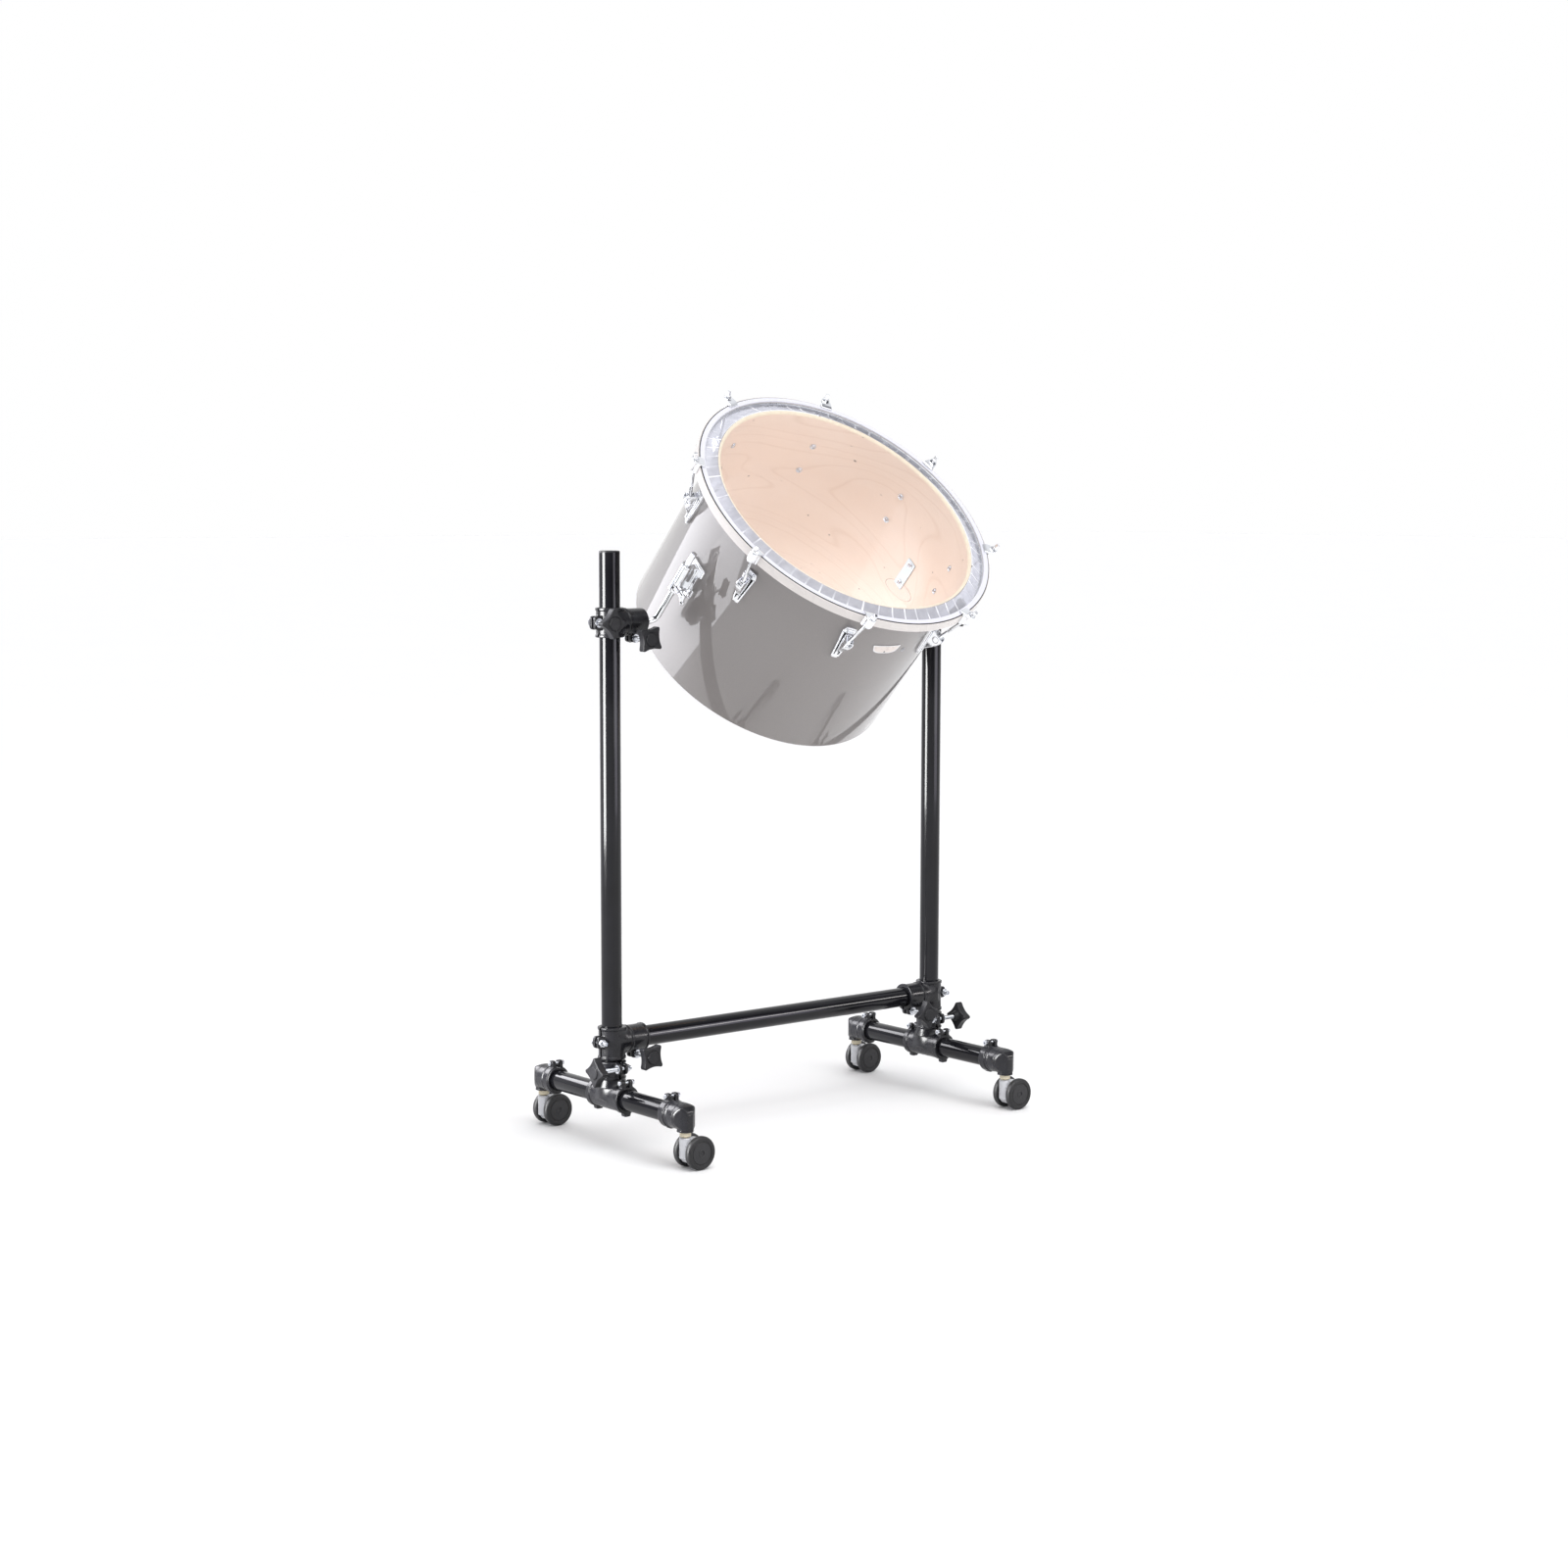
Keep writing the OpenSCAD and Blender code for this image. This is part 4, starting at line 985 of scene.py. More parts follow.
def label_piece():
    """Blank oval paper label with a printed ring, wrapped on the inside of the shell."""
    centre_y, centre_z, half_wide, half_high, lift = -9.5, -207.5, 41, 14.5, 0.25
    lean = math.radians(-20)
    lean_cos, lean_sin = math.cos(lean), math.sin(lean)
    rings, sectors = 28, 64

    def on_wall(around, height):
        return (shell_in_r - lift) * math.cos(around), (shell_in_r - lift) * math.sin(around), height

    points = [on_wall(centre_y / shell_in_r, centre_z)]
    for ring in range(1, rings + 1):
        for s in range(sectors):
            angle = s * 2 * math.pi / sectors
            along = half_wide * ring / rings * math.cos(angle)
            above = half_high * ring / rings * math.sin(angle)
            around = (centre_y + along * lean_cos - above * lean_sin) / shell_in_r
            points.append(on_wall(around, centre_z + along * lean_sin + above * lean_cos))
    faces = [(0, 1 + s, 1 + (s + 1) % sectors) for s in range(sectors)]
    for ring in range(rings - 1):
        for s in range(sectors):
            t = (s + 1) % sectors
            low = 1 + ring * sectors
            faces.append((low + s, low + sectors + s, low + sectors + t, low + t))

    def pick(centre):
        around = math.asin(centre[1] / shell_in_r) * shell_in_r - centre_y
        rise = centre[2] - centre_z
        along, above = around * lean_cos + rise * lean_sin, rise * lean_cos - around * lean_sin
        return 1 if 0.95 < math.hypot(along / half_wide, above / half_high) < 0.985 else 0

    on_drum("inner_label", (np.array(points), faces, None), ([paper, ink], pick), None)


def bracket_shape(p):
    """Rod holder: X-shaped foot on the shell, a web and a split tube around the rod; +X points out."""
    low = bracket_low
    corners = [(-21, low), (21, low), (21, low + 66), (-21, low + 66)]
    radial = radial_of(p)
    foot = meet(1.2, prism(p, corners, 0, 30, 2.0, shell_r), radial - shell_r - 5)
    waist = join(1, *[
        plate(p, (shell_r - 30, y - 9, low + 17), (shell_r + 30, y + 9, low + 49), 0, 8, 0.4)
        for y in (-22, 22)])
    rails = [rod(p, (shell_r + 5, -14, low + e), (shell_r + 5, 14, low + e), 2.4, 0.8) for e in (5, 61)]
    web = plate(p, (shell_r - 2, -6.5, low + 7), (arm_offset, 6.5, low + 61), 1, 3, 1.0)
    tube = rod(p, (arm_offset, 0, low + 3), (arm_offset, 0, low + 65), 10.2, 0.9)
    lips = [rod(p, (arm_offset, 0, low + z), (arm_offset, 0, low + z + 4), 10.5, 0.8) for z in (3, 61)]
    bolt_z = low + 16
    boss = rod(p, (arm_offset, 0, bolt_z), (arm_offset, -19, bolt_z), 8, 0.9)
    solid = join(2.0, cut(1.0, foot, waist), web, tube, boss)
    solid = join(0.6, solid, *rails, *lips)
    bore = rod(p, (arm_offset, 0, low - 4), (arm_offset, 0, low + 75), arm_r + 0.15, hole_edge)
    split = plate(p, (arm_offset, -1.1, low - 5), (arm_offset + 20, 1.1, low + 80), 1, 0.5, 0.2)
    bolt_hole = rod(p, (arm_offset, -5, bolt_z), (arm_offset, -30, bolt_z), 4.1, hole_edge)
    return cut(0.5, solid, radial - shell_r - 0.02, bore, split, bolt_hole)


def wing_shape(p):
    """Wing screw along +Z of its own frame: collar, web and two raised wings."""
    collar = rod(p, (0, 0, 20), (0, 0, 31), 6.9, 0.9)
    half_t = 2.4
    wings = [
        rod(p, (s * 0.1 - half_t, s * 11.0, 34.0), (s * 0.1 + half_t, s * 11.0, 34.0), 4.6, 1.2)
        for s in (-1, 1)]
    web = plate(p, (-half_t, -11.5, 24), (half_t, 11.5, 34), 0, 4.0, 1.0)
    return join(2.5, collar, web, *wings)


def bracket_pieces():
    low, high = (shell_r - 6, -23, bracket_low - 2), (arm_offset + 13, 23, bracket_low + 68)
    bracket = carve(bracket_shape, low, high, 0.85, 0.3)
    wing = carve(wing_shape, (-9, -18, 18), (9, 18, 41), 0.7, 0.35)
    stud = lathe(rod_outline(arm_r + 0.35, 21, 3.95, 17), 32)
    for name, side in SIDES.items():
        on_drum(f"bracket_{name}", moved(bracket, scaled_x(side)), chrome)
        place = scaled_x(side) @ shift(arm_offset, 0, -bracket_mid - 15) @ turn(90, "X")
        bolt = f"wing_bolt_{name}"
        piece(bolt, moved(wing, place), DRUM, bolt, chrome)
        piece(f"wing_stud_{name}", moved(stud, place), DRUM, bolt, steel, bolt)


def rod_pieces():
    """Bent rods: straight into the clamp, a quarter bend, then up along the shell through the bracket."""
    end_x = half_gap - 36
    path = [(end_x, 0, -pivot_drop)]
    bend = (arm_offset + arm_bend_r, -pivot_drop + arm_bend_r)
    for s in range(13):
        angle = math.radians(270 - 90 * s / 12)
        path.append((bend[0] + arm_bend_r * math.cos(angle), 0, bend[1] + arm_bend_r * math.sin(angle)))
    path.append((arm_offset, 0, -112))
    bar = sweep(path, arm_r, 40)
    for name, side in SIDES.items():
        shape = moved(bar, scaled_x(side))
        piece(f"mounting_rod_{name}", shape, DRUM, "rods", chrome)


def badge_pieces():
    """Plain D-shaped badge with a raised rim and one rivet, and the vent's grommet."""
    half_w, drop, height = 31.5, badge_drop + 0.3, 18.4
    rivet_z = -drop - 15
    corners = [
        (-half_w, -drop), (-half_w + 6, -drop - height + 4), (-15, -drop - height), (15, -drop - height),
        (half_w - 6, -drop - height + 4), (half_w, -drop)]

    def outline(p, inset):
        sides = []
        for (y0, z0), (y1, z1) in zip(corners, corners[1:] + corners[:1]):
            reach = math.hypot(y1 - y0, z1 - z0)
            sides.append((p[:, 1] - y0) * (z1 - z0) / reach - (p[:, 2] - z0) * (y1 - y0) / reach + inset)
        return meet(2.0, *sides)

    def badge_shape(p):
        radial = radial_of(p)
        slab = np.abs(radial - shell_r - 0.75) - 0.7
        whole = meet(0.4, slab, outline(p, 0.2))
        hollow = meet(0.4, outline(p, 1.6), shell_r + 1.15 - radial)
        rivet = rod(p, (shell_r + 0.5, 0, rivet_z), (shell_r + 1.45, 0, rivet_z), 1.5, 0.3)
        return join(0.2, cut(0.3, whole, hollow), rivet)

    facing = turn(badge_angle, "Z")
    back = np.array(facing.to_3x3())

    def pick(centre):
        spot = np.array(centre) @ back
        if math.hypot(spot[1], spot[2] - rivet_z) < 1.7:
            return 2
        return 1 if outline(spot[None, :], 2.0)[0] > 0 else 0

    badge = carve(badge_shape, (shell_r - 4, -34, -drop - 20), (shell_r + 3, 34, -drop + 2), 0.55, 0.5)
    on_drum("badge", moved(badge, facing), ([badge_cream, badge_rim, dark_and_shade], pick))
    ring = rounded([(2.2, -3, 0.2), (3.3, -3, 0.2), (3.3, 0.12, 0.1), (4.55, 0.12, 0.2), (4.2, 0.8, 0.4),
                    (2.8, 0.85, 0.4), (2.2, 0.2, 0.3)], 0.3, 3)
    place = turn(vent_angle, "Z") @ shift(shell_r, 0, -vent_drop) @ turn(90, "Y")
    on_drum("vent_grommet", moved(lathe(ring, 40), place), dark_steel)
    # A near-black disc in the grommet's bore is painted shade for the vent hole
    shade_disc = lathe([(0.0, -2.1), (2.3, -2.1), (2.3, -2.0), (0.0, -2.0)], 32)
    on_drum("vent_throat", moved(shade_disc, place), dark_and_shade, "vent_grommet")


# ---------- stand fittings ----------


def ears(p, reach, height):
    """Two ears along +X with a slit between them, in the X-Z plane, with round bosses at the bolt."""
    parts = []
    for s in (-1, 1):
        face = s * ear_face
        near, far = sorted((s * ear_gap, face))
        parts.append(plate(p, (0, near, -height / 2), (reach, far, height / 2), 1, 6.0, 0.9))
        parts.append(rod(p, (bolt_at, face - s * 2, 0), (bolt_at, face + s * 0.05, 0), 8.2, 0.4))
    return join(0.8, *parts)


def back_ears(p, reach, height):
    """Ears behind the upright: the same ears turned to point to -X."""
    return ears(swapped(p, (0, 1, 2), (-1, 1, 1)), reach, height)


def swapped(p, order, signs):
    """Points with their axes in another order, to draw a part lying another way."""
    return np.stack([p[:, axis] * sign for axis, sign in zip(order, signs)], axis=1)


def sleeve_and_socket(p, low, high, socket_end, nose):
    sleeve = rod(p, (0, 0, low), (0, 0, high), cast_r, 0.6)
    socket = rod(p, (0, 0, 0), (socket_end, 0, 0), cast_r, 0.9)
    body = join(7.0, sleeve, socket)
    rims = [rod(p, (0, 0, z), (0, 0, z + 5), cast_r + 1.5, 0.7) for z in (low, high - 5)]
    collar = rod(p, (cast_r + 4, 0, 0), (cast_r + 9, 0, 0), cast_r + 1.3, 0.9)
    return join(1.0, body, collar, nose, *rims)


def side_ears(p, end_z):
    """Ears under the socket: the same ears turned to point down."""
    turned = swapped(p - np.array((side_bolt_x, 0, 0)), (2, 1, 0), (-1, 1, 1))
    return ears(turned, end_z, 24)


def upright_bore(p, low=-60, high=60):
    return rod(p, (0, 0, low), (0, 0, high), bore_r, hole_edge)


def leg_bore(p, low, high):
    return rod(p, (0, low, 0), (0, high, 0), bore_r, hole_edge)


def clamp_bolt_holes(p):
    return [
        rod(p, (x, -40, z), (x, 40, z), bolt_hole_r, hole_edge)
        for x, z in ((-bolt_at, 0), (side_bolt_x, -bolt_at))]


def slits(p):
    """The slits that let a clamp close: one through the sleeve, one along the socket."""
    return [
        plate(p, (-80, -ear_gap, -80), (0, ear_gap, 80), 1, 0.5, 0.3),
        plate(p, (side_bolt_x - 18, -ear_gap, -80), (140, ear_gap, 0), 1, 0.5, 0.3)]


def upper_clamp_shape(p):
    nose = rod(p, (67, 0, 0), (72.8, 0, 0), cast_r - 0.3, 1.2, cast_r - 5)
    body = sleeve_and_socket(p, -26, 26, 69, nose)
    solid = join(1.6, body, back_ears(p, cast_r + 13.8, 24), side_ears(p, cast_r + 11.8))
    arm = rod(p, (0, 0, 0), (90, 0, 0), arm_r + 0.2, hole_edge)
    cup = rod(p, (69.5, 0, 0), (80, 0, 0), 12.5, 0.8)
    return cut(0.7, solid, upright_bore(p), arm, cup, *slits(p), *clamp_bolt_holes(p))


def lower_tee_shape(p):
    rim = rod(p, (63, 0, 0), (67, 0, 0), cast_r + 1.5, 0.7)
    body = sleeve_and_socket(p, -32, 26, 67, rim)
    solid = join(1.6, body, back_ears(p, cast_r + 11.8, 22), side_ears(p, cast_r + 11.8))
    seat = rod(p, (tube_r + 5, 0, 0), (120, 0, 0), bore_r, hole_edge)
    return cut(0.7, solid, upright_bore(p), seat, *slits(p), *clamp_bolt_holes(p))


def band(p, y, width):
    """Clamp band around a sleeve along Y, with two ears on top and a hinge lug below."""
    ring = rod(p, (0, y - width / 2, 0), (0, y + width / 2, 0), cast_r + 1.6, 0.8)
    parts = [ring]
    for s in (-1, 1):
        near, far = sorted((s * 3.5, s * 11.5))
        parts.append(plate(p, (near, y - width / 2, 15), (far, y + width / 2, band_ear_z + 8.4), 0, 5.0, 0.9))
    parts.append(plate(p, (-7, y - width / 2, -cast_r - 6.4), (7, y + width / 2, -cast_r + 4), 1, 3.0, 0.9))
    return join(1.4, *parts)


def band_holes(p, y, width):
    return [
        rod(p, (-30, y, band_bolt_z), (30, y, band_bolt_z), 2.7, hole_edge),
        plate(p, (-3.4, y - width, cast_r - 2), (3.4, y + width, 60), 0, 0.5, 0.3)]


def leg_tee_shape(p):
    """Tee around the leg tube with a collar up around the upright; origin on the leg's axis."""
    top = leg_collar_top - leg_z
    sleeve = rod(p, (0, -leg_sleeve_half, 0), (0, leg_sleeve_half, 0), cast_r, 0.8)
    collar = rod(p, (0, 0, 0), (0, 0, top), cast_r, 0.8)
    flare = rod(p, (0, 0, 18), (0, 0, 32), cast_r + 4.6, 0.8, cast_r)
    rims = [rod(p, (0, 0, z), (0, 0, z + 4), cast_r + 1.5, 0.7) for z in (33, top - 5)]
    body = join(1.4, join(9.0, sleeve, collar), flare)
    turned = swapped(p - np.array((0, 0, leg_knob_z)), (1, 0, 2), (-1, 1, 1))
    knob_ears = ears(turned, cast_r + 13.8, 20)
    spots = (-leg_band_y, leg_band_y)
    solid = join(1.2, body, knob_ears, *rims, *[band(p, y, leg_band_w) for y in spots])
    slit = plate(p, (-ear_gap, -80, 33), (ear_gap, 0, 120), 0, 0.5, 0.3)
    bolt = rod(p, (-40, -bolt_at, leg_knob_z), (40, -bolt_at, leg_knob_z), bolt_hole_r, hole_edge)
    holes = [hole for y in spots for hole in band_holes(p, y, leg_band_w)]
    return cut(0.7, solid, leg_bore(p, -80, 80), upright_bore(p, tube_r + 4.6, 120), slit, bolt, *holes)


def elbow_shape(p):
    """Mitred elbow at the front end of a leg: origin where the leg's axis meets the caster's."""
    outlet_z = elbow_low - leg_z
    sleeve = rod(p, (0, 9, 0), (0, 50, 0), cast_r, 0.8)
    side = prism(p, [
        (-14, -22), (11, -25), (11, 25), (3, 25), (-8, 19), (-14, 10)], 0, 40, 0.1)
    above = prism(p, [
        (-25, 11), (-25, 5), (-15, -8), (-7, -14.1), (7, -14.1), (15, -8), (25, 5), (25, 11)], 2, 60, 0.1)
    corner = meet(3.0, side, above, rod(p, (0, -28, 0), (0, 12, 0), cast_r, 0.1))
    column = octagon(p, 14.3, outlet_z, 6)
    foot = octagon(p, 14.3, outlet_z, outlet_z + 3.2)
    body = join(1.2, join(2.0, sleeve, corner), column, foot)
    lip = rod(p, (0, 26, 0), (0, 30, 0), cast_r + 0.7, 0.6)
    solid = join(0.8, body, lip, band(p, elbow_band_at, 14))
    return cut(0.7, solid, leg_bore(p, 13.5, 90), p[:, 2] - outlet_z, *band_holes(p, elbow_band_at, 14))


def flats(p, count, half):
    """Distances past the sides of a regular outline about Z."""
    angles = np.arange(count) * math.pi / (count / 2)
    return [p[:, 0] * math.cos(a) + p[:, 1] * math.sin(a) - half for a in angles]


def octagon(p, half, low, high):
    sides = flats(p, 8, half)
    return meet(1.4, *sides, low - p[:, 2], p[:, 2] - high)


def knob_shape(p):
    """Four-lobed moulded knob with a round cap, on a tapered neck; its face is at -Z."""
    radial = radial_of(p)
    notch_at, notch_r = knob_r * 2.3, knob_r * 1.66 + 0.1
    outline = radial - knob_r + 0.1
    for angle in (45, 135, 225, 315):
        x, y = notch_at * math.cos(math.radians(angle)), notch_at * math.sin(math.radians(angle))
        outline = meet(2.6, outline, notch_r - np.hypot(p[:, 0] - x, p[:, 1] - y))
    lobes = meet(2.2, outline, np.abs(p[:, 2]) - knob_t / 2 + 0.1)
    cap = rod(p, (0, 0, -knob_t / 2 - 1.9), (0, 0, 0), 11.4, 0.6)
    neck = rod(p, (0, 0, knob_t / 2 - 2), (0, 0, knob_t / 2 + 7.9), 10.2, 0.7, 7.5)
    well = rod(p, (0, 0, -knob_t / 2 - 3), (0, 0, -knob_t / 2 + 0.7), 13.0, 0.3)
    moat = cut(0.3, well, rod(p, (0, 0, -knob_t), (0, 0, knob_t), 11.9, hole_edge))
    return join(0.5, cut(0.4, join(1.5, lobes, neck), moat), cap)


def hex_shape(p, across, thick, hole):
    """Hex nut or head from z = 0, with chamfered corners."""
    sides = flats(p, 6, across / 2)
    radial = radial_of(p)
    chamfer = (radial + np.abs(p[:, 2] - thick / 2) - across / 2 - thick / 2 + 0.45) * 0.707
    body = meet(0.5, *sides, np.abs(p[:, 2] - thick / 2) - thick / 2, chamfer)
    return cut(0.3, body, radial - hole) if hole else body


def fitting_pieces():
    clamp = carve(upper_clamp_shape, (-41, -28, -39), (76, 28, 28), 1.0, 0.3)
    tee = carve(lower_tee_shape, (-39, -28, -39), (70, 28, 29), 1.0, 0.3)
    leg_tee = carve(leg_tee_shape, (-30, -50, -34), (30, 50, 68), 1.0, 0.3)
    elbow = carve(elbow_shape, (-28, -28, -34), (28, 53, 38), 1.0, 0.3)
    knob = carve(knob_shape, (-29, -29, -12), (29, 29, 17), 0.85, 0.3)
    nut = carve(lambda p: hex_shape(p, 13, 7, 4.0), (-9, -9, -1), (9, 9, 8), 0.6, 0.35)
    bolt_head = carve(lambda p: hex_shape(p, 13, 6, 0), (-9, -9, -1), (9, 9, 7), 0.6, 0.35)
    small_head = carve(small_hex_shape, (-6, -6, -1), (6, 6, 6), 0.5, 0.35)
    round_head = carve(socket_head_shape, (-6, -6, -1), (6, 6, 7), 0.45, 0.35)
    washer = lathe(rounded([(4.1, 0), (8, 0), (8, 1.2), (4.1, 1.2)], 0.3, 3), 40)
    at_front = shift(0, -leg_reach, 0)
    at_rear = Matrix.Scale(-1, 4, Vector((0, 1, 0))) @ at_front
    elbows = merged([moved(elbow, at_front), moved(elbow, at_rear)])
    for name, side in SIDES.items():
        flip = scaled_x(-side)
        castings = {
            f"upper_clamp_{name}": (clamp, pivot_z, f"clamp_{name}"),
            f"lower_tee_{name}": (tee, crossbar_z, "stand"),
            f"leg_tee_{name}": (leg_tee, leg_z, f"leg_{name}"),
            f"leg_elbows_{name}": (elbows, leg_z, f"leg_{name}")}
        for node, (shape, height, body) in castings.items():
            piece(node, moved(shape, flip), at_upright(side, height), body, cast_black)
        knobs(name, side, flip, knob, washer)
        hardware(name, side, flip, nut, bolt_head, small_head, round_head)


def small_hex_shape(p):
    return hex_shape(p, 8, 4, 0)


def socket_head_shape(p):
    head = rod(p, (0, 0, 0), (0, 0, 5), 4.55, 0.5)
    return cut(0.2, head, meet(0.1, *flats(p, 6, 2), 2.4 - p[:, 2]))


def knobs(name, side, flip, knob, washer):
    """Plastic knobs on their screws: two on each upper clamp, one on each lower tee and each leg tee."""
    facing, under = turn(-90, "X"), shift(side_bolt_x, 0, -bolt_at)
    leg_place = shift(0, -bolt_at, leg_knob_z) @ turn(90, "Y")
    sites = {
        "height": (pivot_z, shift(-bolt_at, 0, 0) @ facing, 0, knob_centre),
        "tilt": (pivot_z, under @ facing, 38, knob_centre),
        "crossbar": (crossbar_z, under @ facing, 40 if side < 0 else 5, knob_centre),
        "leg": (leg_z, leg_place, 0, knob_centre + 3)}
    for kind, (height, place, spin, reach) in sites.items():
        node = f"{kind}_knob_{name}"
        knob_set(node, knob, washer, flip @ place, at_upright(side, height), spin, reach)


def knob_set(node, knob, washer, place, base, spin, reach):
    """One knob with its screw and washer, on the body of the knob's own name."""
    shaped = moved(knob, place @ shift(0, 0, -reach) @ turn(spin, "Z"))
    piece(node, shaped, base, node, knob_black)
    screw = lathe(rod_outline(-reach, ear_face + 11.6, 3.95, ear_face + 9.6), 32)
    piece(f"{node}_screw", moved(screw, place), base, node, steel, node)
    washer_place = place @ shift(0, 0, -ear_face - 1.3)
    piece(f"{node}_washer", moved(washer, washer_place), base, node, steel, node)


def hardware(name, side, flip, nut, bolt_head, small_head, round_head):
    """Nuts, hex bolts and band screws of one side of the stand."""
    on_face = shift(0, 0, ear_face + 0.1)
    back = turn(-90, "X") @ on_face
    front = turn(90, "X") @ on_face
    flat = turn(30, "Z")
    outer, under = flip @ shift(-bolt_at, 0, 0), flip @ shift(side_bolt_x, 0, -bolt_at)
    nuts = merged([moved(nut, outer @ back @ flat), moved(nut, under @ back)])
    clamp_place, tee_place = at_upright(side, pivot_z), at_upright(side, crossbar_z)
    piece(f"clamp_nuts_{name}", nuts, clamp_place, f"clamp_{name}", dark_steel)
    tee_set = merged([
        moved(bolt_head, outer @ back @ flat), moved(nut, outer @ front @ flat), moved(nut, under @ back)])
    piece(f"tee_bolts_{name}", tee_set, tee_place, "stand", steel, "tee_bolts")
    shaft = moved(lathe(rod_outline(-ear_face - 6, ear_face + 12, 3.9, -ear_face + 30), 32),
                  outer @ turn(90, "X"))
    piece(f"tee_bolt_shaft_{name}", shaft, tee_place, "stand", steel, "tee_bolts")
    heads, shanks = [], []
    bar = lathe(rod_outline(-16.5, 13, 2.45, 11), 24)
    for y in (-elbow_band_y, -leg_band_y, leg_band_y, elbow_band_y):
        spot = flip @ shift(0, y, band_bolt_z) @ turn(90, "Y")
        heads.append(moved(round_head, spot @ shift(0, 0, 11.6)))
        heads.append(moved(small_head, spot @ shift(0, 0, -15.6)))
        shanks.append(moved(bar, spot))
    heads.append(moved(nut, flip @ shift(0, -bolt_at, leg_knob_z) @ turn(90, "Y") @ on_face))
    node, body, leg_place = f"leg_bolts_{name}", f"leg_{name}", at_upright(side, leg_z)
    piece(node, merged(heads), leg_place, body, steel)
    piece(f"leg_bolt_shanks_{name}", merged(shanks), leg_place, body, steel, node)


# ---------- tubes ----------


def tube(start, end):
    """Open tube between two heights along Z with rolled lips."""
    inner = tube_r - 2.0
    return lathe(rounded([(inner, start), (tube_r, start), (tube_r, end), (inner, end)], 0.7, 4), 96)


def tube_pieces():
    upright = tube(leg_z + tube_r + 5, upright_top - 3)
    reach = leg_reach - 14
    leg = moved(tube(-reach, reach), turn(90, "X"))
    for name, side in SIDES.items():
        piece(f"upright_{name}", upright, at_upright(side), "stand", tube_black)
        piece(f"leg_tube_{name}", leg, at_upright(side, leg_z), f"leg_{name}", tube_black)
    crossbar = moved(tube(-crossbar_half, crossbar_half), turn(90, "Y"))
    piece("crossbar", crossbar, shift(0, stand_y, crossbar_z), "stand", tube_black)
    cap = rounded([(0, -14, 0), (tube_r - 2.1, -14, 1), (tube_r - 2.1, -3.1, 0.2), (tube_r, -3.0, 0.3),
                   (tube_r - 0.2, -0.9, 0.8), (tube_r - 3, -0.02, 1.5), (0, -0.02, 0)], 0.5, 4)
    caps = merged([moved(lathe(cap, 96), shift(side * half_gap, 0, 0)) for side in SIDES.values()])
    piece("upright_caps", caps, shift(0, stand_y, upright_top), "stand", knob_black)


# ---------- casters ----------


def hood_shape(p):
    """Silver hood between the discs, swelling up to the stem's socket; origin on the floor under the stem."""
    half = hood_half - 0.05
    drum = rod(p, (trail, -half, wheel_r), (trail, half, wheel_r), 25, 1.2)
    neck = rod(p, (0, 0, 20), (0, 0, 57.9), half, 1.4)
    web = plate(p, (0, -half, wheel_r), (trail, half, 53.5), 1, 3, 1.2)
    solid = join(3.0, drum, neck, web)
    hub = rod(p, (trail, -20, wheel_r), (trail, 20, wheel_r), 4.1, hole_edge)
    socket = rod(p, (0, 0, 33), (0, 0, 80), 5.1, hole_edge)
    return cut(0.6, solid, hub, socket, p[:, 2] - 12.1)


def wheel_outline():
    """One disc, from its inner face at height 0 to its outer face."""
    return rounded([
        (0, 0, 0), (wheel_r - 2.5, 0, 0.8), (wheel_r, 2.3, 1.6), (wheel_r, disc_t - 2.6, 1.6),
        (wheel_r - 2.6, disc_t, 1.0), (21.6, disc_t, 0.4), (21.0, disc_t - 1.3, 0.4),
        (19.6, disc_t - 1.3, 0.4), (19.0, disc_t - 0.4, 0.4), (7.2, disc_t - 0.9, 0.4),
        (6.6, disc_t - 0.2, 0.5), (4.6, disc_t - 0.2, 0.6), (4.0, disc_t - 1.6, 0.4),
        (0, disc_t - 1.6, 0)], 0.8, 3)


def caster_pieces():
    hood = carve(hood_shape, (-13, -13, 11), (46, 13, 60), 0.8, 0.3)
    disc = lathe(wheel_outline(), 96)

    def pick(centre):
        return 1 if math.hypot(centre[0], centre[2]) < 19.2 and abs(centre[1]) > hood_half + 9 else 0

    axle = lathe(rounded([(0, -13, 0), (3.9, -13, 0.6), (3.9, 13, 0.6), (0, 13, 0)], 0.6, 3), 32)
    lying = moved(axle, turn(90, "X"))
    discs = merged([
        moved(disc, shift(0, -hood_half - 0.5, 0) @ turn(90, "X")),
        moved(disc, shift(0, hood_half + 0.5, 0) @ turn(-90, "X"))])
    for end, forward in ENDS.items():
        for name, side in SIDES.items():
            where = f"{end}_{name}"
            base = at_upright(side) @ shift(0, forward * leg_reach, 0)
            piece(f"caster_hood_{where}", hood, base, f"caster_{where}", hood_silver)
            hub = base @ shift(trail, 0, wheel_r)
            node, body = f"caster_wheels_{where}", f"wheels_{where}"
            piece(node, discs, hub, body, ([rubber, disc_face], pick))
            piece(f"caster_axle_{where}", lying, hub, body, dark_steel, node)
    bush_h, low = 8, elbow_low
    bush = rounded([(5.05, low - bush_h), (10, low - bush_h), (10, low - 0.1), (5.05, low - 0.1)], 1.0, 4)
    stem = rounded([(0, 34, 0), (4.95, 34, 0.8), (4.95, 81, 0.8), (0, 81, 0)], 0.8, 3)
    for name, side in SIDES.items():
        spots = [shift(0, forward * leg_reach, 0) for forward in ENDS.values()]
        base = at_upright(side)
        stems = merged([moved(lathe(stem, 40), spot) for spot in spots])
        node, body = f"caster_stems_{name}", f"leg_{name}"
        piece(node, stems, base, body, brass)
        bushes = merged([moved(lathe(bush, 48), spot) for spot in spots])
        piece(f"caster_bushes_{name}", bushes, base, body, cream_bush, node)


# ---------- stage, light and camera ----------


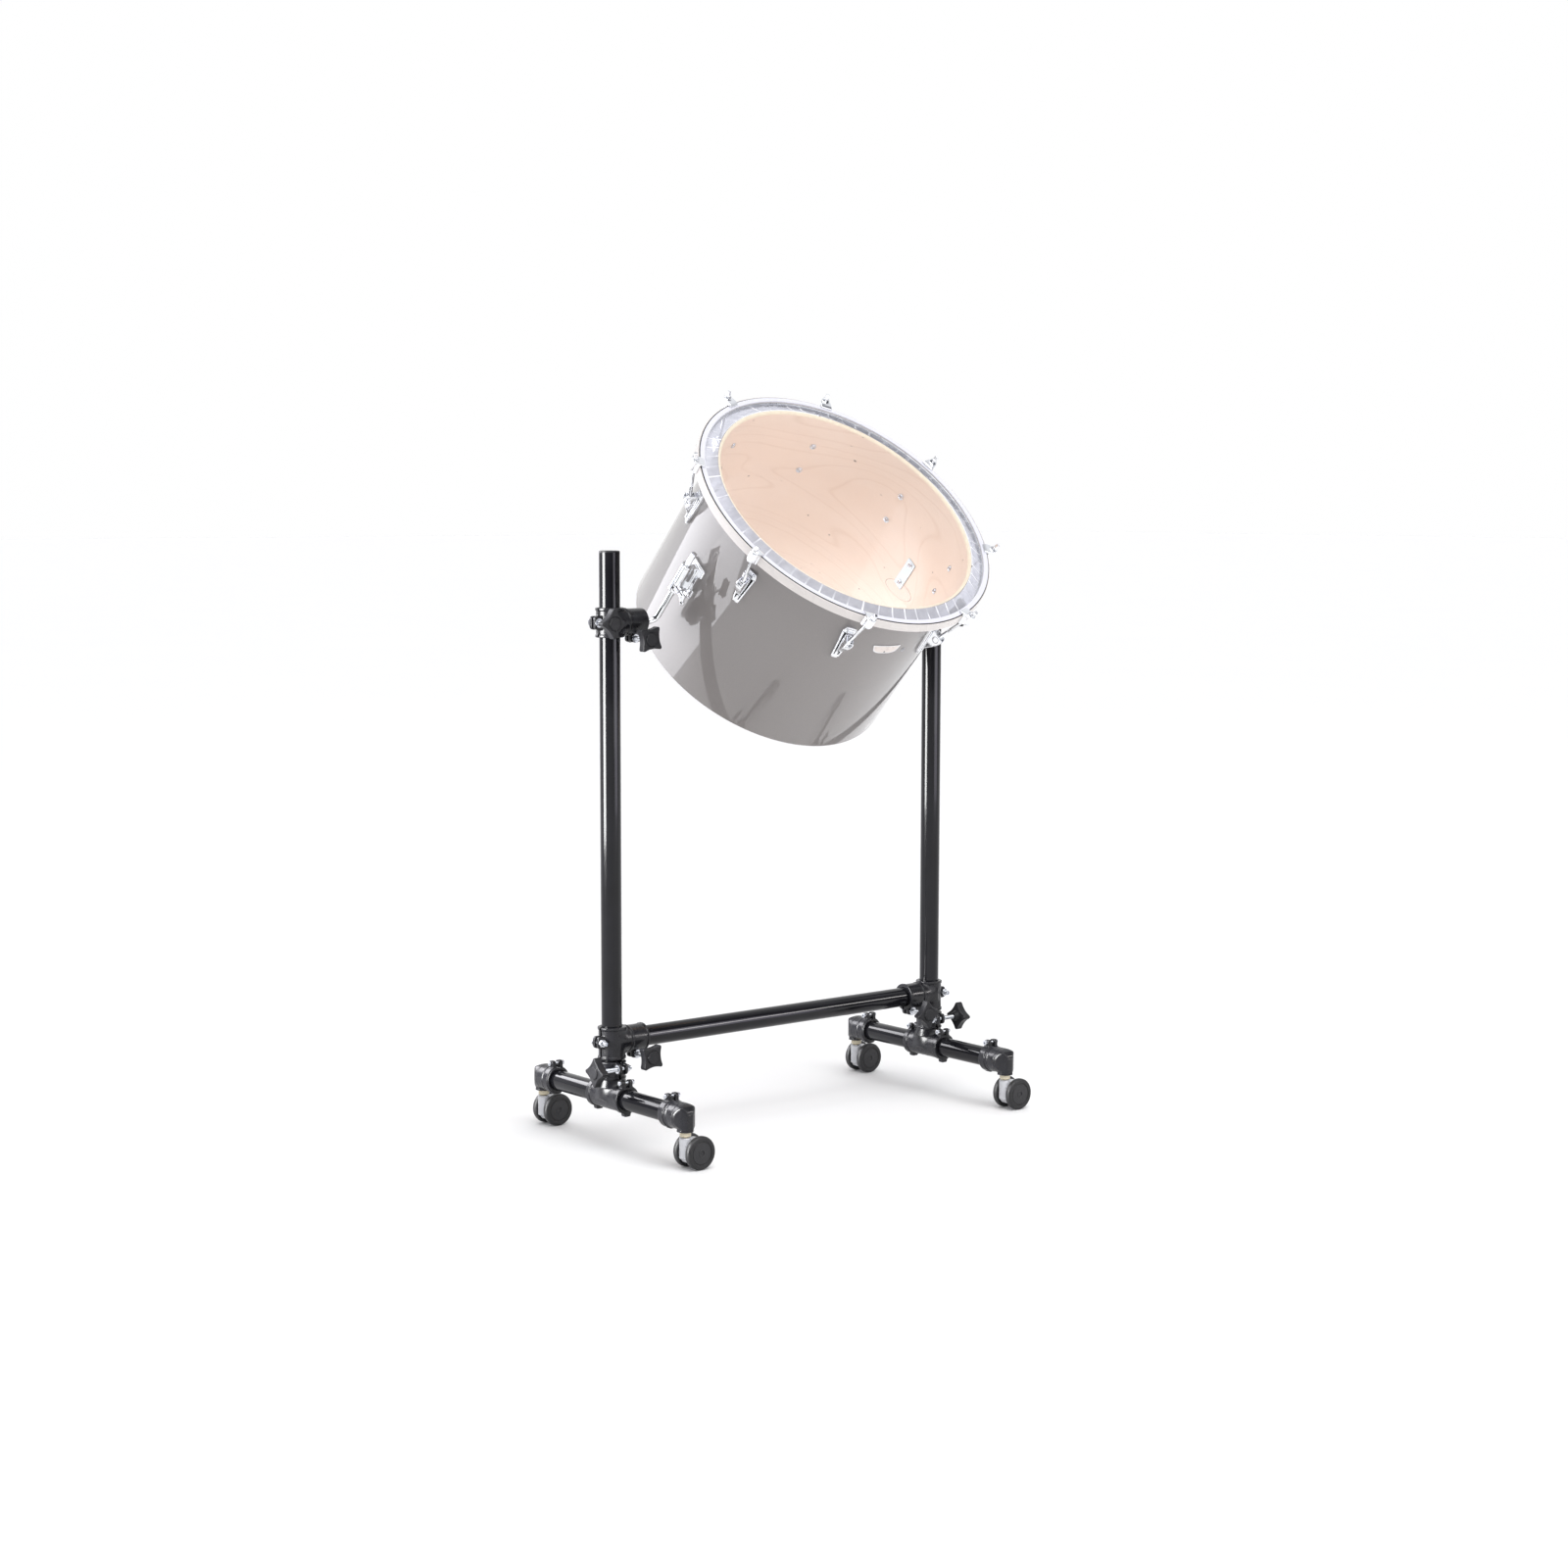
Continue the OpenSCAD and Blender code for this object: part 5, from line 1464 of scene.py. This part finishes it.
def floor():
    mesh = bpy.data.meshes.new("floor")
    half = 70.0
    corners = [(-half, -half, 0), (half, -half, 0), (half, half, 0), (-half, half, 0)]
    mesh.from_pydata(corners, [], [(0, 1, 2, 3)])
    skin = Skin("pale_floor", (0.965, 0.962, 0.958), 0.8, specular=0.2)
    skin.vary_colour(0.8, 0.995, 1.0)
    skin.set("Emission Color", (1, 1, 1, 1))
    skin.set("Emission Strength", 0.03)
    mesh.materials.append(skin.material)
    added("floor", mesh)


def softbox(name, spot, target, size, power, tone=(1, 1, 1), only=()):
    """Rectangular light; with only, it lights just the pieces whose material is named there."""
    light = bpy.data.lights.new(name, "AREA")
    light.shape = "RECTANGLE"
    light.size, light.size_y = size
    light.energy = power
    light.color = tone
    obj = added(name, light)
    obj.location = spot
    obj.rotation_euler = (Vector(target) - Vector(spot)).to_track_quat("-Z", "Y").to_euler()
    if only:
        lit = bpy.data.collections.new(f"lit_by_{name}")
        for thing in bpy.data.objects:
            if thing.type == "MESH" and any(skin in only for skin in thing.data.materials):
                lit.objects.link(thing)
        obj.light_linking.receiver_collection = lit


def studio_world():
    """White cyclorama behind the drum, a dim studio on the side the picture is taken from."""
    world = bpy.data.worlds.new("studio")
    world.use_nodes = True
    nodes, links = world.node_tree.nodes, world.node_tree.links
    place = nodes.new("ShaderNodeTexCoord").outputs["Generated"]
    toward = nodes.new("ShaderNodeVectorMath")
    toward.operation = "DOT_PRODUCT"
    toward.inputs[1].default_value = Vector((0.628, 0.765, 0.14)).normalized()
    links.new(place, toward.inputs[0])
    ramp = nodes.new("ShaderNodeValToRGB")
    ramp.color_ramp.interpolation = "EASE"
    stops = (
        (0.0, (0.10, 0.10, 0.11)), (0.50, (0.16, 0.16, 0.18)), (0.80, (0.95, 0.96, 0.99)),
        (1.0, (1, 1, 1)))
    while len(ramp.color_ramp.elements) < len(stops):
        ramp.color_ramp.elements.new(0.5)
    for element, (position, colour) in zip(ramp.color_ramp.elements, stops):
        element.position = position
        element.color = (*colour, 1)
    span = nodes.new("ShaderNodeMapRange")
    span.inputs["From Min"].default_value = -1
    span.inputs["From Max"].default_value = 1
    links.new(toward.outputs["Value"], span.inputs["Value"])
    links.new(span.outputs["Result"], ramp.inputs["Fac"])
    links.new(ramp.outputs["Color"], nodes["Background"].inputs["Color"])
    nodes["Background"].inputs["Strength"].default_value = 1.0
    bpy.context.scene.world = world


def lights():
    studio_world()
    sun = bpy.data.lights.new("ceiling", "SUN")
    sun.energy = 2.0
    sun.angle = math.radians(70)
    downward = Vector((0.25, 0.5, -1)).to_track_quat("-Z", "Y")
    added("ceiling", sun).rotation_euler = downward.to_euler()
    blacks = (tube_black, cast_black, knob_black, rubber, disc_face)
    softbox("strip_left", (-4.2, 0.9, 1.0), (0, 0, 0.7), (2.1, 4.4), 1100, only=blacks)
    softbox("panel_dusk", (1.7, -3.6, 1.4), (0, 0, 0.9), (2.6, 2.6), 70, (0.88, 0.84, 1), (tube_black,))
    softbox("strip_front", (3.3, -3.9, 1.85), (0, 0, 0.2), (2.8, 0.5), 75, (1, 0.96, 0.95), blacks)
    softbox("strip_rear", (-1.3, 2.4, 1.7), (0, 0, 0.1), (1.9, 0.9), 60, (0.97, 0.96, 1), blacks)
    softbox("panel_right", (1.3, -4.6, 1.9), (0, 0, 0.9), (3.4, 3.0), 50, (0.96, 0.96, 1))
    softbox("panel_top", (-0.4, -1.6, 3.4), (0, 0, 0.8), (2.4, 1.6), 25)
    softbox("panel_left", (-1.35, 1.55, 0.95), (0, 0, 0.95), (2.1, 1.9), 37, (0.95, 0.95, 1),
            (lacquer, chrome, hoop_white, hoop_face, collar_film, paper, inner_zinc, steel))


def camera():
    """Long lens at the height of the head, looking down slightly from the player's left."""
    data = bpy.data.cameras.new("camera")
    data.sensor_fit = "HORIZONTAL"
    data.sensor_width = 36
    data.lens = 62.8
    data.shift_y = 0.0149
    obj = added("camera", data)
    azimuth, elevation, roll = math.radians(-39.08), math.radians(6.423), math.radians(0.115)
    level = math.cos(elevation)
    back = Vector((math.sin(azimuth) * level, -math.cos(azimuth) * level, math.sin(elevation)))
    right = Vector((math.cos(azimuth), math.sin(azimuth), 0))
    up = back.cross(right)
    matrix = Matrix((right, up, back)).transposed().to_4x4() @ Matrix.Rotation(roll, 4, "Z")
    matrix.translation = Vector((-3.1796, -3.9328 + stand_y * MM, 1.1566))
    obj.matrix_world = matrix
    bpy.context.scene.camera = obj


camera()
shell_piece()
head_piece()
hoop_pieces()
tension_pieces()
lug_pieces()
inner_pieces()
bracket_pieces()
rod_pieces()
badge_pieces()
fitting_pieces()
tube_pieces()
caster_pieces()
floor()
lights()
bpy.context.scene.view_settings.view_transform = "Standard"
